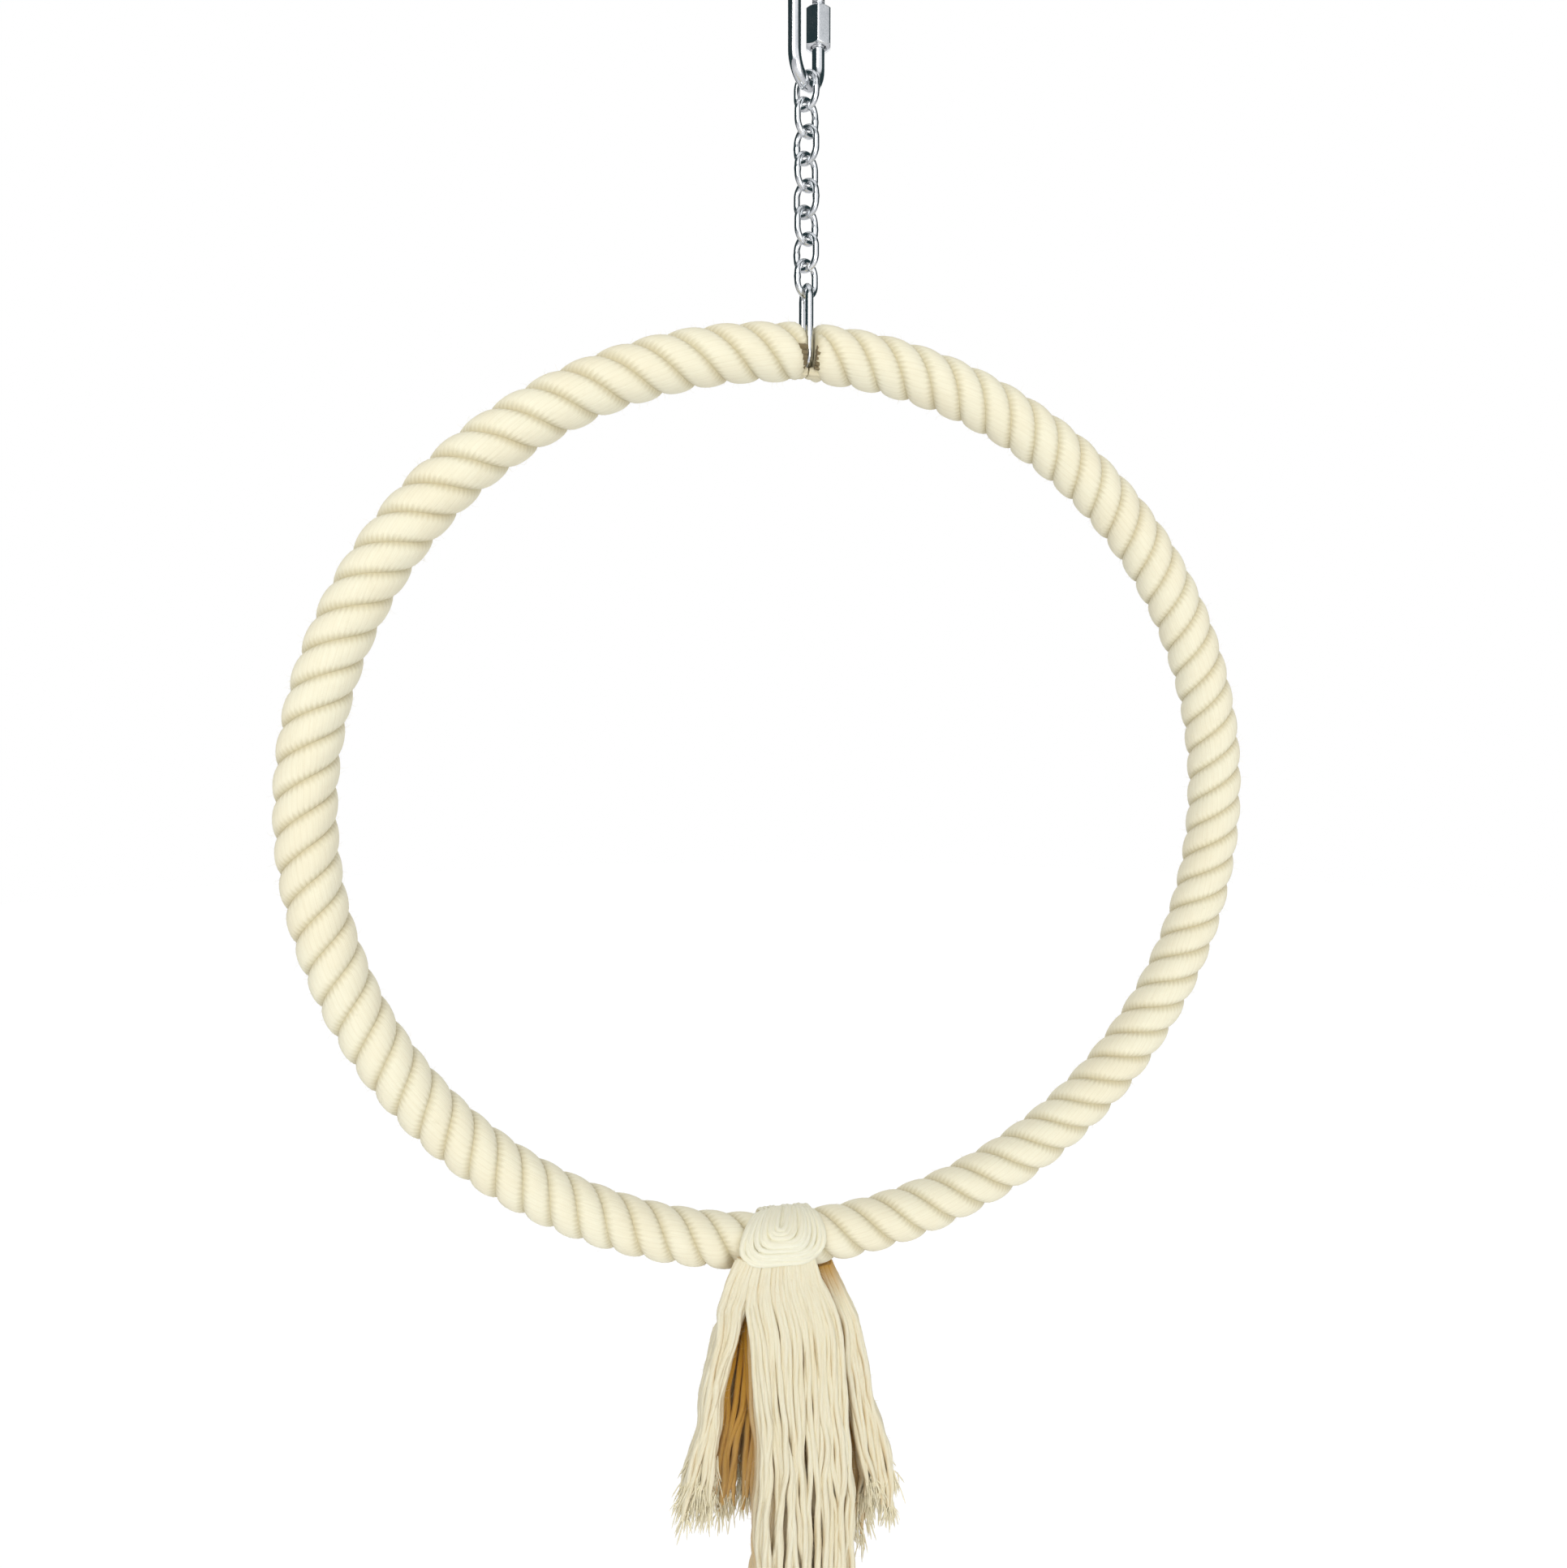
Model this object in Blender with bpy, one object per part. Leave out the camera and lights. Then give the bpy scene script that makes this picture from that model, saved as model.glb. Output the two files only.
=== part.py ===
"""Rope ring bird swing: a quick link, a short chain and a rope-covered hoop with a yarn tassel hitched to it.

The origin is the point inside the quick link that bears on the cage bar or hook.
The hoop lies in the XZ plane, and the swing hangs along -Z.
"""

import math

import bmesh
import bpy
from mathutils import Matrix, Vector

MM = 0.001
TOUCH_GAP = 0.3 * MM

# Quick link, closed by a long hexagonal nut on one leg
QUICK_LINK_ROD = 4.0 * MM
QUICK_LINK_LEG_SPACING = 14.5 * MM
QUICK_LINK_INNER_LENGTH = 36.5 * MM
QUICK_LINK_TURN = math.radians(44.0)
NUT_ACROSS_FLATS = 7.5 * MM
NUT_LENGTH = 11.5 * MM
NUT_ABOVE_LINK_END = 15.7 * MM
NUT_EDGE_BEVEL = 0.5 * MM
LINK_OPENING = 5.0 * MM

# Chain, whose links lie crosswise to each other
CHAIN_LINK_COUNT = 8
CHAIN_WIRE = 2.0 * MM
CHAIN_LINK_WIDTH = 10.0 * MM
CHAIN_PITCH = 8.0 * MM
FIRST_CHAIN_LINK_TURN = math.radians(-58.0)
NEXT_CHAIN_LINK_TURN = math.radians(90.0)

# Hanger loop, which passes round the hoop between the rope's ends
HANGER_WIRE = 2.5 * MM
HANGER_INNER_WIDTH = 5.0 * MM
HANGER_INNER_LENGTH = 20.9 * MM
HANGER_TURN = math.radians(90.0)

# Ring: a steel hoop inside a rope, a little wider than it is tall
HOOP_ROD = 4.0 * MM
RING_HALF_HEIGHT = 144.0 * MM
RING_HALF_WIDTH = 151.5 * MM
ROPE_DIAMETER = 18.0 * MM
ROPE_BORE = 5.6 * MM
ROPE_END_GAP = 3.6 * MM

# Tassel, a hank of yarn hitched over the rope a little left of the ring's lowest point
TASSEL_OFFSET = math.radians(2.4)
WRAP_WIDTH = 17.0 * MM
WRAP_BORE = 18.8 * MM
WRAP_THICKNESS = 1.8 * MM
WRAP_EDGE_BEVEL = 0.7 * MM
BIGHT_THICKNESS = 6.4 * MM
BIGHT_WIDTH = 31.0 * MM
BIGHT_RISE = math.radians(14.0)
BIGHT_END_RISE = math.radians(19.0)

# Skirt of the tassel: drop below the rope's centre, half width and half depth
SKIRT_TOP = (11.6 * MM, 17.0 * MM, 9.0 * MM)
SKIRT_SHOULDER = (30.0 * MM, 24.0 * MM, 13.0 * MM)
SKIRT_MIDDLE = (60.0 * MM, 29.0 * MM, 15.5 * MM)
SKIRT_HEM = (86.0 * MM, 36.0 * MM, 18.0 * MM)
SKIRT_STATIONS = (SKIRT_TOP, SKIRT_SHOULDER, SKIRT_MIDDLE, SKIRT_HEM)
SKIRT_SEAM = 0.25 * MM
HEM_TIP = 4.0 * MM
HEM_TIP_SHARE = 0.6

# Bunches: where each starts and ends across the skirt, its row and the drop of its hem
FRONT_ROW = (-1.0, 0.0)
BACK_ROW = (0.0, 1.0)
BUNCHES = {
    "tassel_bunch_left": (0.0, 0.20, FRONT_ROW, 92.0 * MM),
    "tassel_bunch_middle_left": (0.28, 0.55, FRONT_ROW, 136.0 * MM),
    "tassel_bunch_middle_right": (0.55, 0.81, FRONT_ROW, 139.0 * MM),
    "tassel_bunch_right": (0.84, 1.0, FRONT_ROW, 102.0 * MM),
    "tassel_bunch_back_left": (0.06, 0.50, BACK_ROW, 97.0 * MM),
    "tassel_bunch_back_right": (0.50, 0.94, BACK_ROW, 116.0 * MM),
}

# Finishes: colour, roughness and metallic value
NICKEL = ((0.72, 0.73, 0.74, 1.0), 0.22, 1.0)
STEEL = ((0.52, 0.53, 0.54, 1.0), 0.4, 1.0)
COTTON_ROPE = ((0.85, 0.79, 0.62, 1.0), 0.9, 0.0)
COTTON_YARN = ((0.76, 0.69, 0.50, 1.0), 0.95, 0.0)

# Facets
SHARP_EDGE = math.radians(40.0)
WIRE_RESOLUTION = 2
HOOP_RESOLUTION = 1
BEND_STEPS = 8
HOOP_STEPS = 72
ROPE_STEPS = 72
ROPE_SIDES = 14
ROUND_SIDES = 24
BIGHT_STEPS = 10
BUNCH_SIDES = 12
BUNCH_SQUARENESS = 0.7

# Heights that follow from the sizes above
QUICK_LINK_TOP = QUICK_LINK_ROD / 2
QUICK_LINK_BOTTOM = -QUICK_LINK_INNER_LENGTH - QUICK_LINK_ROD / 2
NUT_BOTTOM = QUICK_LINK_BOTTOM - QUICK_LINK_ROD / 2 + NUT_ABOVE_LINK_END
NUT_CENTRE = NUT_BOTTOM + NUT_LENGTH / 2
CHAIN_LINK_LENGTH = CHAIN_PITCH + CHAIN_WIRE + TOUCH_GAP
FIRST_CHAIN_LINK_TOP = QUICK_LINK_BOTTOM + QUICK_LINK_ROD / 2 + TOUCH_GAP + CHAIN_WIRE / 2
CHAIN_BOTTOM = FIRST_CHAIN_LINK_TOP - CHAIN_LINK_LENGTH - (CHAIN_LINK_COUNT - 1) * CHAIN_PITCH
HANGER_TOP = CHAIN_BOTTOM + CHAIN_WIRE / 2 + TOUCH_GAP + HANGER_WIRE / 2
HANGER_BOTTOM = HANGER_TOP - HANGER_INNER_LENGTH - HANGER_WIRE
HOOP_TOP = HANGER_BOTTOM + HANGER_WIRE / 2 + TOUCH_GAP + HOOP_ROD / 2
RING_CENTRE = HOOP_TOP - RING_HALF_HEIGHT
TASSEL_PIVOT = Vector(
    (
        -RING_HALF_WIDTH * math.sin(TASSEL_OFFSET),
        0.0,
        RING_CENTRE - RING_HALF_HEIGHT * math.cos(TASSEL_OFFSET),
    )
)
TASSEL_TURN = math.atan2(
    RING_HALF_HEIGHT * math.sin(TASSEL_OFFSET), RING_HALF_WIDTH * math.cos(TASSEL_OFFSET)
)


def clear_scene():
    """Remove the objects that the scene starts with."""
    for old in list(bpy.data.objects):
        bpy.data.objects.remove(old, do_unlink=True)


def make_material(name, finish):
    """Make a Principled BSDF material from a finish."""
    colour, roughness, metallic = finish
    material = bpy.data.materials.new(name + "_finish")
    material.use_nodes = True
    shader = material.node_tree.nodes["Principled BSDF"]
    shader.inputs["Base Color"].default_value = colour
    shader.inputs["Roughness"].default_value = roughness
    shader.inputs["Metallic"].default_value = metallic
    return material


def world_place(axis):
    """World position of an empty whose parents are all unturned."""
    position = Vector()
    while axis is not None:
        position += axis.location
        axis = axis.parent
    return position


def make_axis(name, position, parent=None):
    """Make an empty on a joint's axis, and hang it from its parent's empty."""
    axis = bpy.data.objects.new(name, None)
    axis.location = Vector(position) - world_place(parent)
    axis.parent = parent
    bpy.context.collection.objects.link(axis)
    return axis


def place(name, data, axis, finish, turn=(0.0, 0.0, 0.0)):
    """Make a named object of a mesh or a curve, on the empty of its joint."""
    data.materials.append(make_material(name, finish))
    piece = bpy.data.objects.new(name, data)
    piece.parent = axis
    piece.rotation_euler = turn
    bpy.context.collection.objects.link(piece)
    return piece


def make_tube(name, points, diameter, closed, resolution=WIRE_RESOLUTION):
    """Make a round wire along a row of points."""
    curve = bpy.data.curves.new(name, "CURVE")
    curve.dimensions = "3D"
    curve.bevel_depth = diameter / 2
    curve.bevel_resolution = resolution
    curve.use_fill_caps = not closed
    spline = curve.splines.new("POLY")
    spline.points.add(len(points) - 1)
    for spline_point, position in zip(spline.points, points):
        spline_point.co = (*position, 1.0)
    spline.use_cyclic_u = closed
    return curve


def finish_mesh(name, bm):
    """Turn a bmesh into a mesh with outward faces, smooth except at its edges."""
    bmesh.ops.recalc_face_normals(bm, faces=bm.faces)
    mesh = bpy.data.meshes.new(name)
    bm.to_mesh(mesh)
    bm.free()
    mesh.shade_smooth()
    mesh.set_sharp_from_angle(angle=SHARP_EDGE)
    return mesh


def bend(half_width, centre_height, start):
    """Points of half a turn in the XZ plane, from an angle given in half turns."""
    points = []
    for step in range(BEND_STEPS + 1):
        angle = math.pi * (start + step / BEND_STEPS)
        points.append((half_width * math.cos(angle), 0.0, centre_height + half_width * math.sin(angle)))
    return points


def oval(half_width, top, bottom):
    """Points round an upright oval link, given at the centre of its wire."""
    return bend(half_width, top - half_width, 0.0) + bend(half_width, bottom + half_width, 1.0)


def add_ring(bm, points):
    """Add a vertex at each point of a ring, and give the vertices."""
    return [bm.verts.new(point) for point in points]


def join_rings(bm, nearer, farther):
    """Add a band of faces between two closed rows of vertices that lie side by side."""
    for side in range(len(nearer)):
        before = side - 1
        bm.faces.new((nearer[before], nearer[side], farther[side], farther[before]))


def add_cutter(target, name, radius, length, turn=(0.0, 0.0, 0.0)):
    """Bore a round hole through an object, along its Z axis turned as given."""
    bm = bmesh.new()
    bmesh.ops.create_cone(
        bm, cap_ends=True, segments=ROUND_SIDES, radius1=radius, radius2=radius, depth=length
    )
    cutter = bpy.data.objects.new(name, finish_mesh(name, bm))
    cutter.parent = target
    cutter.rotation_euler = turn
    cutter.hide_render = True
    cutter.display_type = "WIRE"
    bpy.context.collection.objects.link(cutter)
    cut = target.modifiers.new("bore", "BOOLEAN")
    cut.operation = "DIFFERENCE"
    cut.solver = "EXACT"
    cut.object = cutter


def add_edge_bevel(target, width):
    """Round an object's sharp edges."""
    bevel = target.modifiers.new("edges", "BEVEL")
    bevel.width = width
    bevel.segments = 2
    bevel.limit_method = "ANGLE"


def build_quick_link(root):
    """Make the quick link's open rod and the nut that closes it."""
    half = QUICK_LINK_LEG_SPACING / 2
    opening_top = NUT_CENTRE + LINK_OPENING / 2
    opening_bottom = NUT_CENTRE - LINK_OPENING / 2
    route = [(half, 0.0, opening_top)]
    route += oval(half, QUICK_LINK_TOP, QUICK_LINK_BOTTOM)
    route += [(half, 0.0, opening_bottom)]
    rod = make_tube("quick_link_body", route, QUICK_LINK_ROD, closed=False)
    place("quick_link_body", rod, root, NICKEL, turn=(0.0, 0.0, QUICK_LINK_TURN))

    leg = (half * math.cos(QUICK_LINK_TURN), half * math.sin(QUICK_LINK_TURN), NUT_CENTRE)
    axis = make_axis("lock_nut_axis", leg, root)
    radius = NUT_ACROSS_FLATS / math.sqrt(3.0)
    bm = bmesh.new()
    bmesh.ops.create_cone(bm, cap_ends=True, segments=6, radius1=radius, radius2=radius, depth=NUT_LENGTH)
    mesh = finish_mesh("quick_link_nut", bm)
    nut = place("quick_link_nut", mesh, axis, NICKEL, turn=(0.0, 0.0, QUICK_LINK_TURN))
    add_edge_bevel(nut, NUT_EDGE_BEVEL)
    add_cutter(nut, "nut_bore_cutter", QUICK_LINK_ROD / 2 + TOUCH_GAP, 2 * NUT_LENGTH)


def build_chain(root):
    """Make the chain's links, each hung on the wire end of the one above, and give the last one's empty."""
    parent = root
    height = QUICK_LINK_BOTTOM
    top = FIRST_CHAIN_LINK_TOP
    for number in range(1, CHAIN_LINK_COUNT + 1):
        name = f"chain_link_{number}"
        axis = make_axis(name + "_axis", (0.0, 0.0, height), parent)
        bottom = top - CHAIN_LINK_LENGTH
        half = (CHAIN_LINK_WIDTH - CHAIN_WIRE) / 2
        link = make_tube(name, oval(half, top - height, bottom - height), CHAIN_WIRE, closed=True)
        turn = FIRST_CHAIN_LINK_TURN + (number - 1) * NEXT_CHAIN_LINK_TURN
        place(name, link, axis, NICKEL, turn=(0.0, 0.0, turn))
        parent = axis
        height = bottom
        top -= CHAIN_PITCH
    return parent


def build_hanger(chain_end):
    """Make the long loop that joins the chain to the hoop, and give its empty."""
    axis = make_axis("hanger_loop_axis", (0.0, 0.0, CHAIN_BOTTOM), chain_end)
    half = (HANGER_INNER_WIDTH + HANGER_WIRE) / 2
    route = oval(half, HANGER_TOP - CHAIN_BOTTOM, HANGER_BOTTOM - CHAIN_BOTTOM)
    loop = make_tube("hanger_loop", route, HANGER_WIRE, closed=True)
    place("hanger_loop", loop, axis, NICKEL, turn=(0.0, 0.0, HANGER_TURN))
    return axis


def ring_at(angle):
    """Give a point of the ring's centreline, from the ring's top, and the way out from its centre there."""
    point = Vector((RING_HALF_WIDTH * math.sin(angle), 0.0, RING_HALF_HEIGHT * (math.cos(angle) - 1.0)))
    outward = Vector((RING_HALF_HEIGHT * math.sin(angle), 0.0, RING_HALF_WIDTH * math.cos(angle)))
    return point, outward.normalized()


def rope_section(angle, diameter):
    """Points of a circle round the ring's centreline."""
    centre, outward = ring_at(angle)
    points = []
    for side in range(ROPE_SIDES):
        turn = math.tau * side / ROPE_SIDES
        across = Vector((0.0, math.sin(turn), 0.0)) + outward * math.cos(turn)
        points.append(centre + diameter / 2 * across)
    return points


def build_ring(hanger):
    """Make the hoop and the rope round it, and give the ring's empty."""
    axis = make_axis("ring_axis", (0.0, 0.0, HOOP_TOP), hanger)
    route = [ring_at(math.tau * step / HOOP_STEPS)[0] for step in range(HOOP_STEPS)]
    hoop = make_tube("core_hoop", route, HOOP_ROD, closed=True, resolution=HOOP_RESOLUTION)
    place("core_hoop", hoop, axis, STEEL)

    first = math.asin(ROPE_END_GAP / 2 / RING_HALF_WIDTH)
    step_angle = (math.tau - 2 * first) / ROPE_STEPS
    bm = bmesh.new()
    skins = []
    for diameter in (ROPE_DIAMETER, ROPE_BORE):
        sections = [rope_section(first + step * step_angle, diameter) for step in range(ROPE_STEPS + 1)]
        rings = [add_ring(bm, section) for section in sections]
        for nearer, farther in zip(rings, rings[1:]):
            join_rings(bm, nearer, farther)
        skins.append(rings)
    outer, bore = skins
    for end in (0, -1):
        join_rings(bm, outer[end], bore[end])
    place("rope", finish_mesh("rope", bm), axis, COTTON_ROPE)
    return axis


def build_hitch(axis):
    """Make the part of the hank that holds the rope: a wrap round it and a bight across its front."""
    turn = (0.0, TASSEL_TURN, 0.0)
    outer = WRAP_BORE / 2 + WRAP_THICKNESS
    bm = bmesh.new()
    bmesh.ops.create_cone(
        bm, cap_ends=True, segments=ROUND_SIDES, radius1=outer, radius2=outer, depth=WRAP_WIDTH
    )
    bmesh.ops.rotate(bm, verts=bm.verts, cent=(0.0, 0.0, 0.0), matrix=Matrix.Rotation(math.pi / 2, 3, "Y"))
    wrap = place("tassel_wrap", finish_mesh("tassel_wrap", bm), axis, COTTON_YARN, turn=turn)
    add_edge_bevel(wrap, WRAP_EDGE_BEVEL)
    add_cutter(wrap, "wrap_bore_cutter", WRAP_BORE / 2, 2 * WRAP_WIDTH, turn=(0.0, math.pi / 2, 0.0))

    reach = outer + TOUCH_GAP + BIGHT_THICKNESS / 2
    route = []
    for step in range(BIGHT_STEPS + 1):
        across = 2 * step / BIGHT_STEPS - 1
        angle = BIGHT_RISE + (BIGHT_END_RISE - BIGHT_RISE) * across**2
        half = (BIGHT_WIDTH - BIGHT_THICKNESS) / 2
        route.append((half * across, -reach * math.cos(angle), reach * math.sin(angle)))
    bight = make_tube("tassel_bight", route, BIGHT_THICKNESS, closed=False)
    place("tassel_bight", bight, axis, COTTON_YARN, turn=turn)


def skirt_at(drop):
    """Half width and half depth of the tassel's skirt at a drop below the rope's centre."""
    for upper, lower in zip(SKIRT_STATIONS, SKIRT_STATIONS[1:]):
        if drop <= lower[0]:
            share = (drop - upper[0]) / (lower[0] - upper[0])
            return tuple(a + share * (b - a) for a, b in zip(upper[1:], lower[1:]))
    return SKIRT_HEM[1:]


def bunch_section(drop, start, end, row, share=1.0):
    """Points round one bunch at a drop, as a rounded box within its part of the skirt."""
    half_width, half_depth = skirt_at(drop)
    left = half_width * (2 * start - 1) + SKIRT_SEAM
    right = half_width * (2 * end - 1) - SKIRT_SEAM
    front = half_depth * row[0] + SKIRT_SEAM
    back = half_depth * row[1] - SKIRT_SEAM
    points = []
    for side in range(BUNCH_SIDES):
        angle = math.tau * (side + 0.5) / BUNCH_SIDES
        across = math.copysign(abs(math.cos(angle)) ** BUNCH_SQUARENESS, math.cos(angle))
        along = math.copysign(abs(math.sin(angle)) ** BUNCH_SQUARENESS, math.sin(angle))
        x = (left + right) / 2 + share * across * (right - left) / 2
        y = (front + back) / 2 + share * along * (back - front) / 2
        points.append((x, y, -drop))
    return points


def build_bunches(axis):
    """Make the bunches of yarn that hang below the rope."""
    for name, (start, end, row, hem) in BUNCHES.items():
        drops = [station[0] for station in SKIRT_STATIONS if station[0] < hem - HEM_TIP]
        sections = [bunch_section(drop, start, end, row) for drop in drops]
        sections.append(bunch_section(hem - HEM_TIP, start, end, row))
        sections.append(bunch_section(hem, start, end, row, HEM_TIP_SHARE))
        bm = bmesh.new()
        rings = [add_ring(bm, section) for section in sections]
        for upper, lower in zip(rings, rings[1:]):
            join_rings(bm, upper, lower)
        bm.faces.new(rings[0])
        bm.faces.new(rings[-1])
        place(name, finish_mesh(name, bm), axis, COTTON_YARN)


def build_swing():
    """Build the whole swing from its quick link down."""
    clear_scene()
    root = make_axis("quick_link_frame", (0.0, 0.0, 0.0))
    build_quick_link(root)
    chain_end = build_chain(root)
    hanger = build_hanger(chain_end)
    ring = build_ring(hanger)
    tassel = make_axis("tassel_axis", TASSEL_PIVOT, ring)
    build_hitch(tassel)
    build_bunches(tassel)


build_swing()
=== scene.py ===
"""Dress the rope ring bird swing: its quick link, chain, laid rope ring and hitched yarn tassel."""

import logging
import math
from dataclasses import dataclass, fields, replace
from enum import Enum
from types import SimpleNamespace

import bmesh
import bpy
import numpy as np
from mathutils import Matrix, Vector


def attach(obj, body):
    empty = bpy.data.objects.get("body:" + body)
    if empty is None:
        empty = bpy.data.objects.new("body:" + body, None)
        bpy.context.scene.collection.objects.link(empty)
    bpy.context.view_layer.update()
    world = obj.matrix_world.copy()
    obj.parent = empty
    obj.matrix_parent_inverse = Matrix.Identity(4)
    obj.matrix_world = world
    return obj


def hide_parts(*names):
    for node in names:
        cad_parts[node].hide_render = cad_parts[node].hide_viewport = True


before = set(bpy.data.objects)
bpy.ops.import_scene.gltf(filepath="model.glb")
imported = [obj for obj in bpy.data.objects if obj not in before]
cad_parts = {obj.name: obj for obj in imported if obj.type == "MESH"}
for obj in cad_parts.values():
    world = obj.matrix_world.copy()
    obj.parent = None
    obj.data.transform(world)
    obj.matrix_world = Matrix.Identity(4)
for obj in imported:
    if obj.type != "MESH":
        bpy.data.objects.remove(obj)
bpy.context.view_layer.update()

LOG = logging.getLogger("rope_ring_swing")
MM = 0.001
PHOTO_WIDTH = 1931
PHOTO_HEIGHT = 1932
SHARP_ANGLE = math.radians(38)

Colour = tuple[float, float, float]
Point = tuple[float, float, float]
Mesh = bpy.types.Mesh
Piece = bpy.types.Object
Material = bpy.types.Material
WayPoint = tuple[float, float, float, float]


class Slot(Enum):
    """The record's material slots."""

    BRIGHT_METAL = "bright_metal"
    CORE_STEEL = "core_steel"
    ROPE_COTTON = "rope_cotton"
    TASSEL_YARN = "tassel_yarn"


class Kind(Enum):
    """Socket types of the inputs and outputs of the node groups."""

    NUMBER = "NodeSocketFloat"
    COUNT = "NodeSocketInt"
    VECTOR = "NodeSocketVector"
    FINISH = "NodeSocketMaterial"
    GEOMETRY = "NodeSocketGeometry"


class Row(Enum):
    """The two rows of bunches in the tassel, by the sign of their depth."""

    FRONT = -1
    BACK = 1


class Field:
    """A value or geometry in a node tree. Arithmetic on it adds the nodes that work it out."""

    def __init__(self, graph: "Graph", socket: bpy.types.NodeSocket) -> None:
        """Keep the value's tree and the socket that gives it."""
        self.graph = graph
        self.socket = socket

    def __add__(self, other: "Operand") -> "Field":
        """Add another value."""
        return self.math("ADD", other)

    def __sub__(self, other: "Operand") -> "Field":
        """Take another value away."""
        return self.math("SUBTRACT", other)

    def __rsub__(self, number: float) -> "Field":
        """Take this value away from a number."""
        return self.graph.get("ShaderNodeMath", {0: number, 1: self}, operation="SUBTRACT")

    def __mul__(self, other: "Operand") -> "Field":
        """Multiply by another value."""
        return self.math("MULTIPLY", other)

    def __truediv__(self, other: "Operand") -> "Field":
        """Divide by another value."""
        return self.math("DIVIDE", other)

    def __rtruediv__(self, number: float) -> "Field":
        """Divide a number by this value."""
        return self.graph.get("ShaderNodeMath", {0: number, 1: self}, operation="DIVIDE")

    def __pow__(self, power: float) -> "Field":
        """Raise to a power."""
        return self.math("POWER", power)

    def math(self, operation: str, *others: "Operand") -> "Field":
        """Put the value through a Math node.

        Args:
            operation: The node's operation.
            others: Its other inputs, in order.

        Returns:
            The result.
        """
        return self.graph.get("ShaderNodeMath", dict(enumerate((self, *others))), operation=operation)

    def vector(self, operation: str, other: "Operand | None" = None) -> "Field":
        """Put the value through a Vector Math node.

        Args:
            operation: The node's operation.
            other: Its second vector, or the factor of SCALE, where it takes one.

        Returns:
            The result.
        """
        inputs = {0: self}
        if other is not None:
            inputs["Scale" if operation == "SCALE" else 1] = other
        output = "Value" if operation == "DOT_PRODUCT" else "Vector"
        return self.graph.get("ShaderNodeVectorMath", inputs, output, operation=operation)

    def split(self) -> list["Field"]:
        """Split a vector into its X, Y and Z."""
        node = self.graph.add("ShaderNodeSeparateXYZ", {0: self})
        return [Field(self.graph, socket) for socket in node.outputs]

    def ramp(self, low: float, high: float, bottom: float = 0.0, top: float = 1.0) -> "Field":
        """Map the value smoothly from one range to another and clamp it.

        Args:
            low: Where the result is bottom.
            high: Where the result is top.
            bottom: The result at low.
            top: The result at high.

        Returns:
            The mapped value.
        """
        inputs = {"Value": self, "From Min": low, "From Max": high, "To Min": bottom, "To Max": top}
        return self.graph.get("ShaderNodeMapRange", inputs, "Result", interpolation_type="SMOOTHSTEP")


Operand = Field | float | int | bool | str | tuple
Inputs = dict[str | int, Operand]


class Graph:
    """A node tree to which nodes are added and linked, one call for each node."""

    def __init__(self, tree: bpy.types.NodeTree) -> None:
        """Keep the shader or geometry node tree."""
        self.tree = tree

    def fill(self, node: bpy.types.Node, inputs: Inputs) -> None:
        """Link a node's inputs to values of the tree, or set their own values.

        Args:
            node: The node.
            inputs: Values by the input's name or number.
        """
        for key, value in inputs.items():
            if isinstance(value, Field):
                self.tree.links.new(value.socket, node.inputs[key])
            else:
                node.inputs[key].default_value = value

    def add(self, kind: str, inputs: Inputs | None = None, **settings: object) -> bpy.types.Node:
        """Add a node.

        Args:
            kind: The node's type name.
            inputs: Values by the input's name or number.
            settings: The node's own properties.

        Returns:
            The new node.
        """
        node = self.tree.nodes.new(kind)
        for name, value in settings.items():
            setattr(node, name, value)
        self.fill(node, inputs or {})
        return node

    def get(
        self, kind: str, inputs: Inputs | None = None, output: str | int = 0, **settings: object
    ) -> Field:
        """Add a node and take one of its outputs.

        Args:
            kind: The node's type name.
            inputs: Values by the input's name or number.
            output: The output's name or number.
            settings: The node's own properties.

        Returns:
            The output's value.
        """
        return Field(self, self.add(kind, inputs, **settings).outputs[output])

    def blend(self, share: Operand, first: Operand, second: Operand) -> Field:
        """Mix two colours.

        Args:
            share: How much of the second shows.
            first: The first colour.
            second: The second colour.

        Returns:
            The mixed colour.
        """
        # The Mix node's sockets for colours share their names with others, so they go by number.
        inputs = {0: share, 6: first, 7: second}
        opaque = {key: (*value, 1.0) if isinstance(value, tuple) else value for key, value in inputs.items()}
        return self.get("ShaderNodeMix", opaque, 2, data_type="RGBA")

    def xyz(self, x: Operand = 0.0, y: Operand = 0.0, z: Operand = 0.0) -> Field:
        """Put three values together as a vector."""
        return self.get("ShaderNodeCombineXYZ", {"X": x, "Y": y, "Z": z})

    def spot(self) -> Field:
        """Give each point's position."""
        return self.get("GeometryNodeInputPosition")

    def along(self, measure: str) -> Field:
        """Give how far along its curve each point is, as its Factor or its Length."""
        return self.get("GeometryNodeSplineParameter", output=measure)

    def circle(self, points: Operand, radius: Operand) -> Field:
        """Draw a circle of so many points."""
        return self.get("GeometryNodeCurvePrimitiveCircle", {"Resolution": points, "Radius": radius})

    def even(self, curve: Field, count: Field) -> Field:
        """Space a curve's points evenly."""
        return self.get("GeometryNodeResampleCurve", {"Curve": curve, "Count": count}, mode="COUNT")

    def move(self, geometry: Field, **place: Field) -> Field:
        """Move points to a Position or by an Offset."""
        return self.get("GeometryNodeSetPosition", {"Geometry": geometry, **place})

    def sweep(self, curve: Field, section: Field, scale: Operand = 1.0, caps: bool = False) -> Field:
        """Sweep a section along a curve.

        Args:
            curve: The curve.
            section: The section's curve.
            scale: The section's size along the way.
            caps: True to close the ends.

        Returns:
            The swept mesh.
        """
        inputs = {"Curve": curve, "Profile Curve": section, "Scale": scale, "Fill Caps": caps}
        return self.get("GeometryNodeCurveToMesh", inputs)


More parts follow.
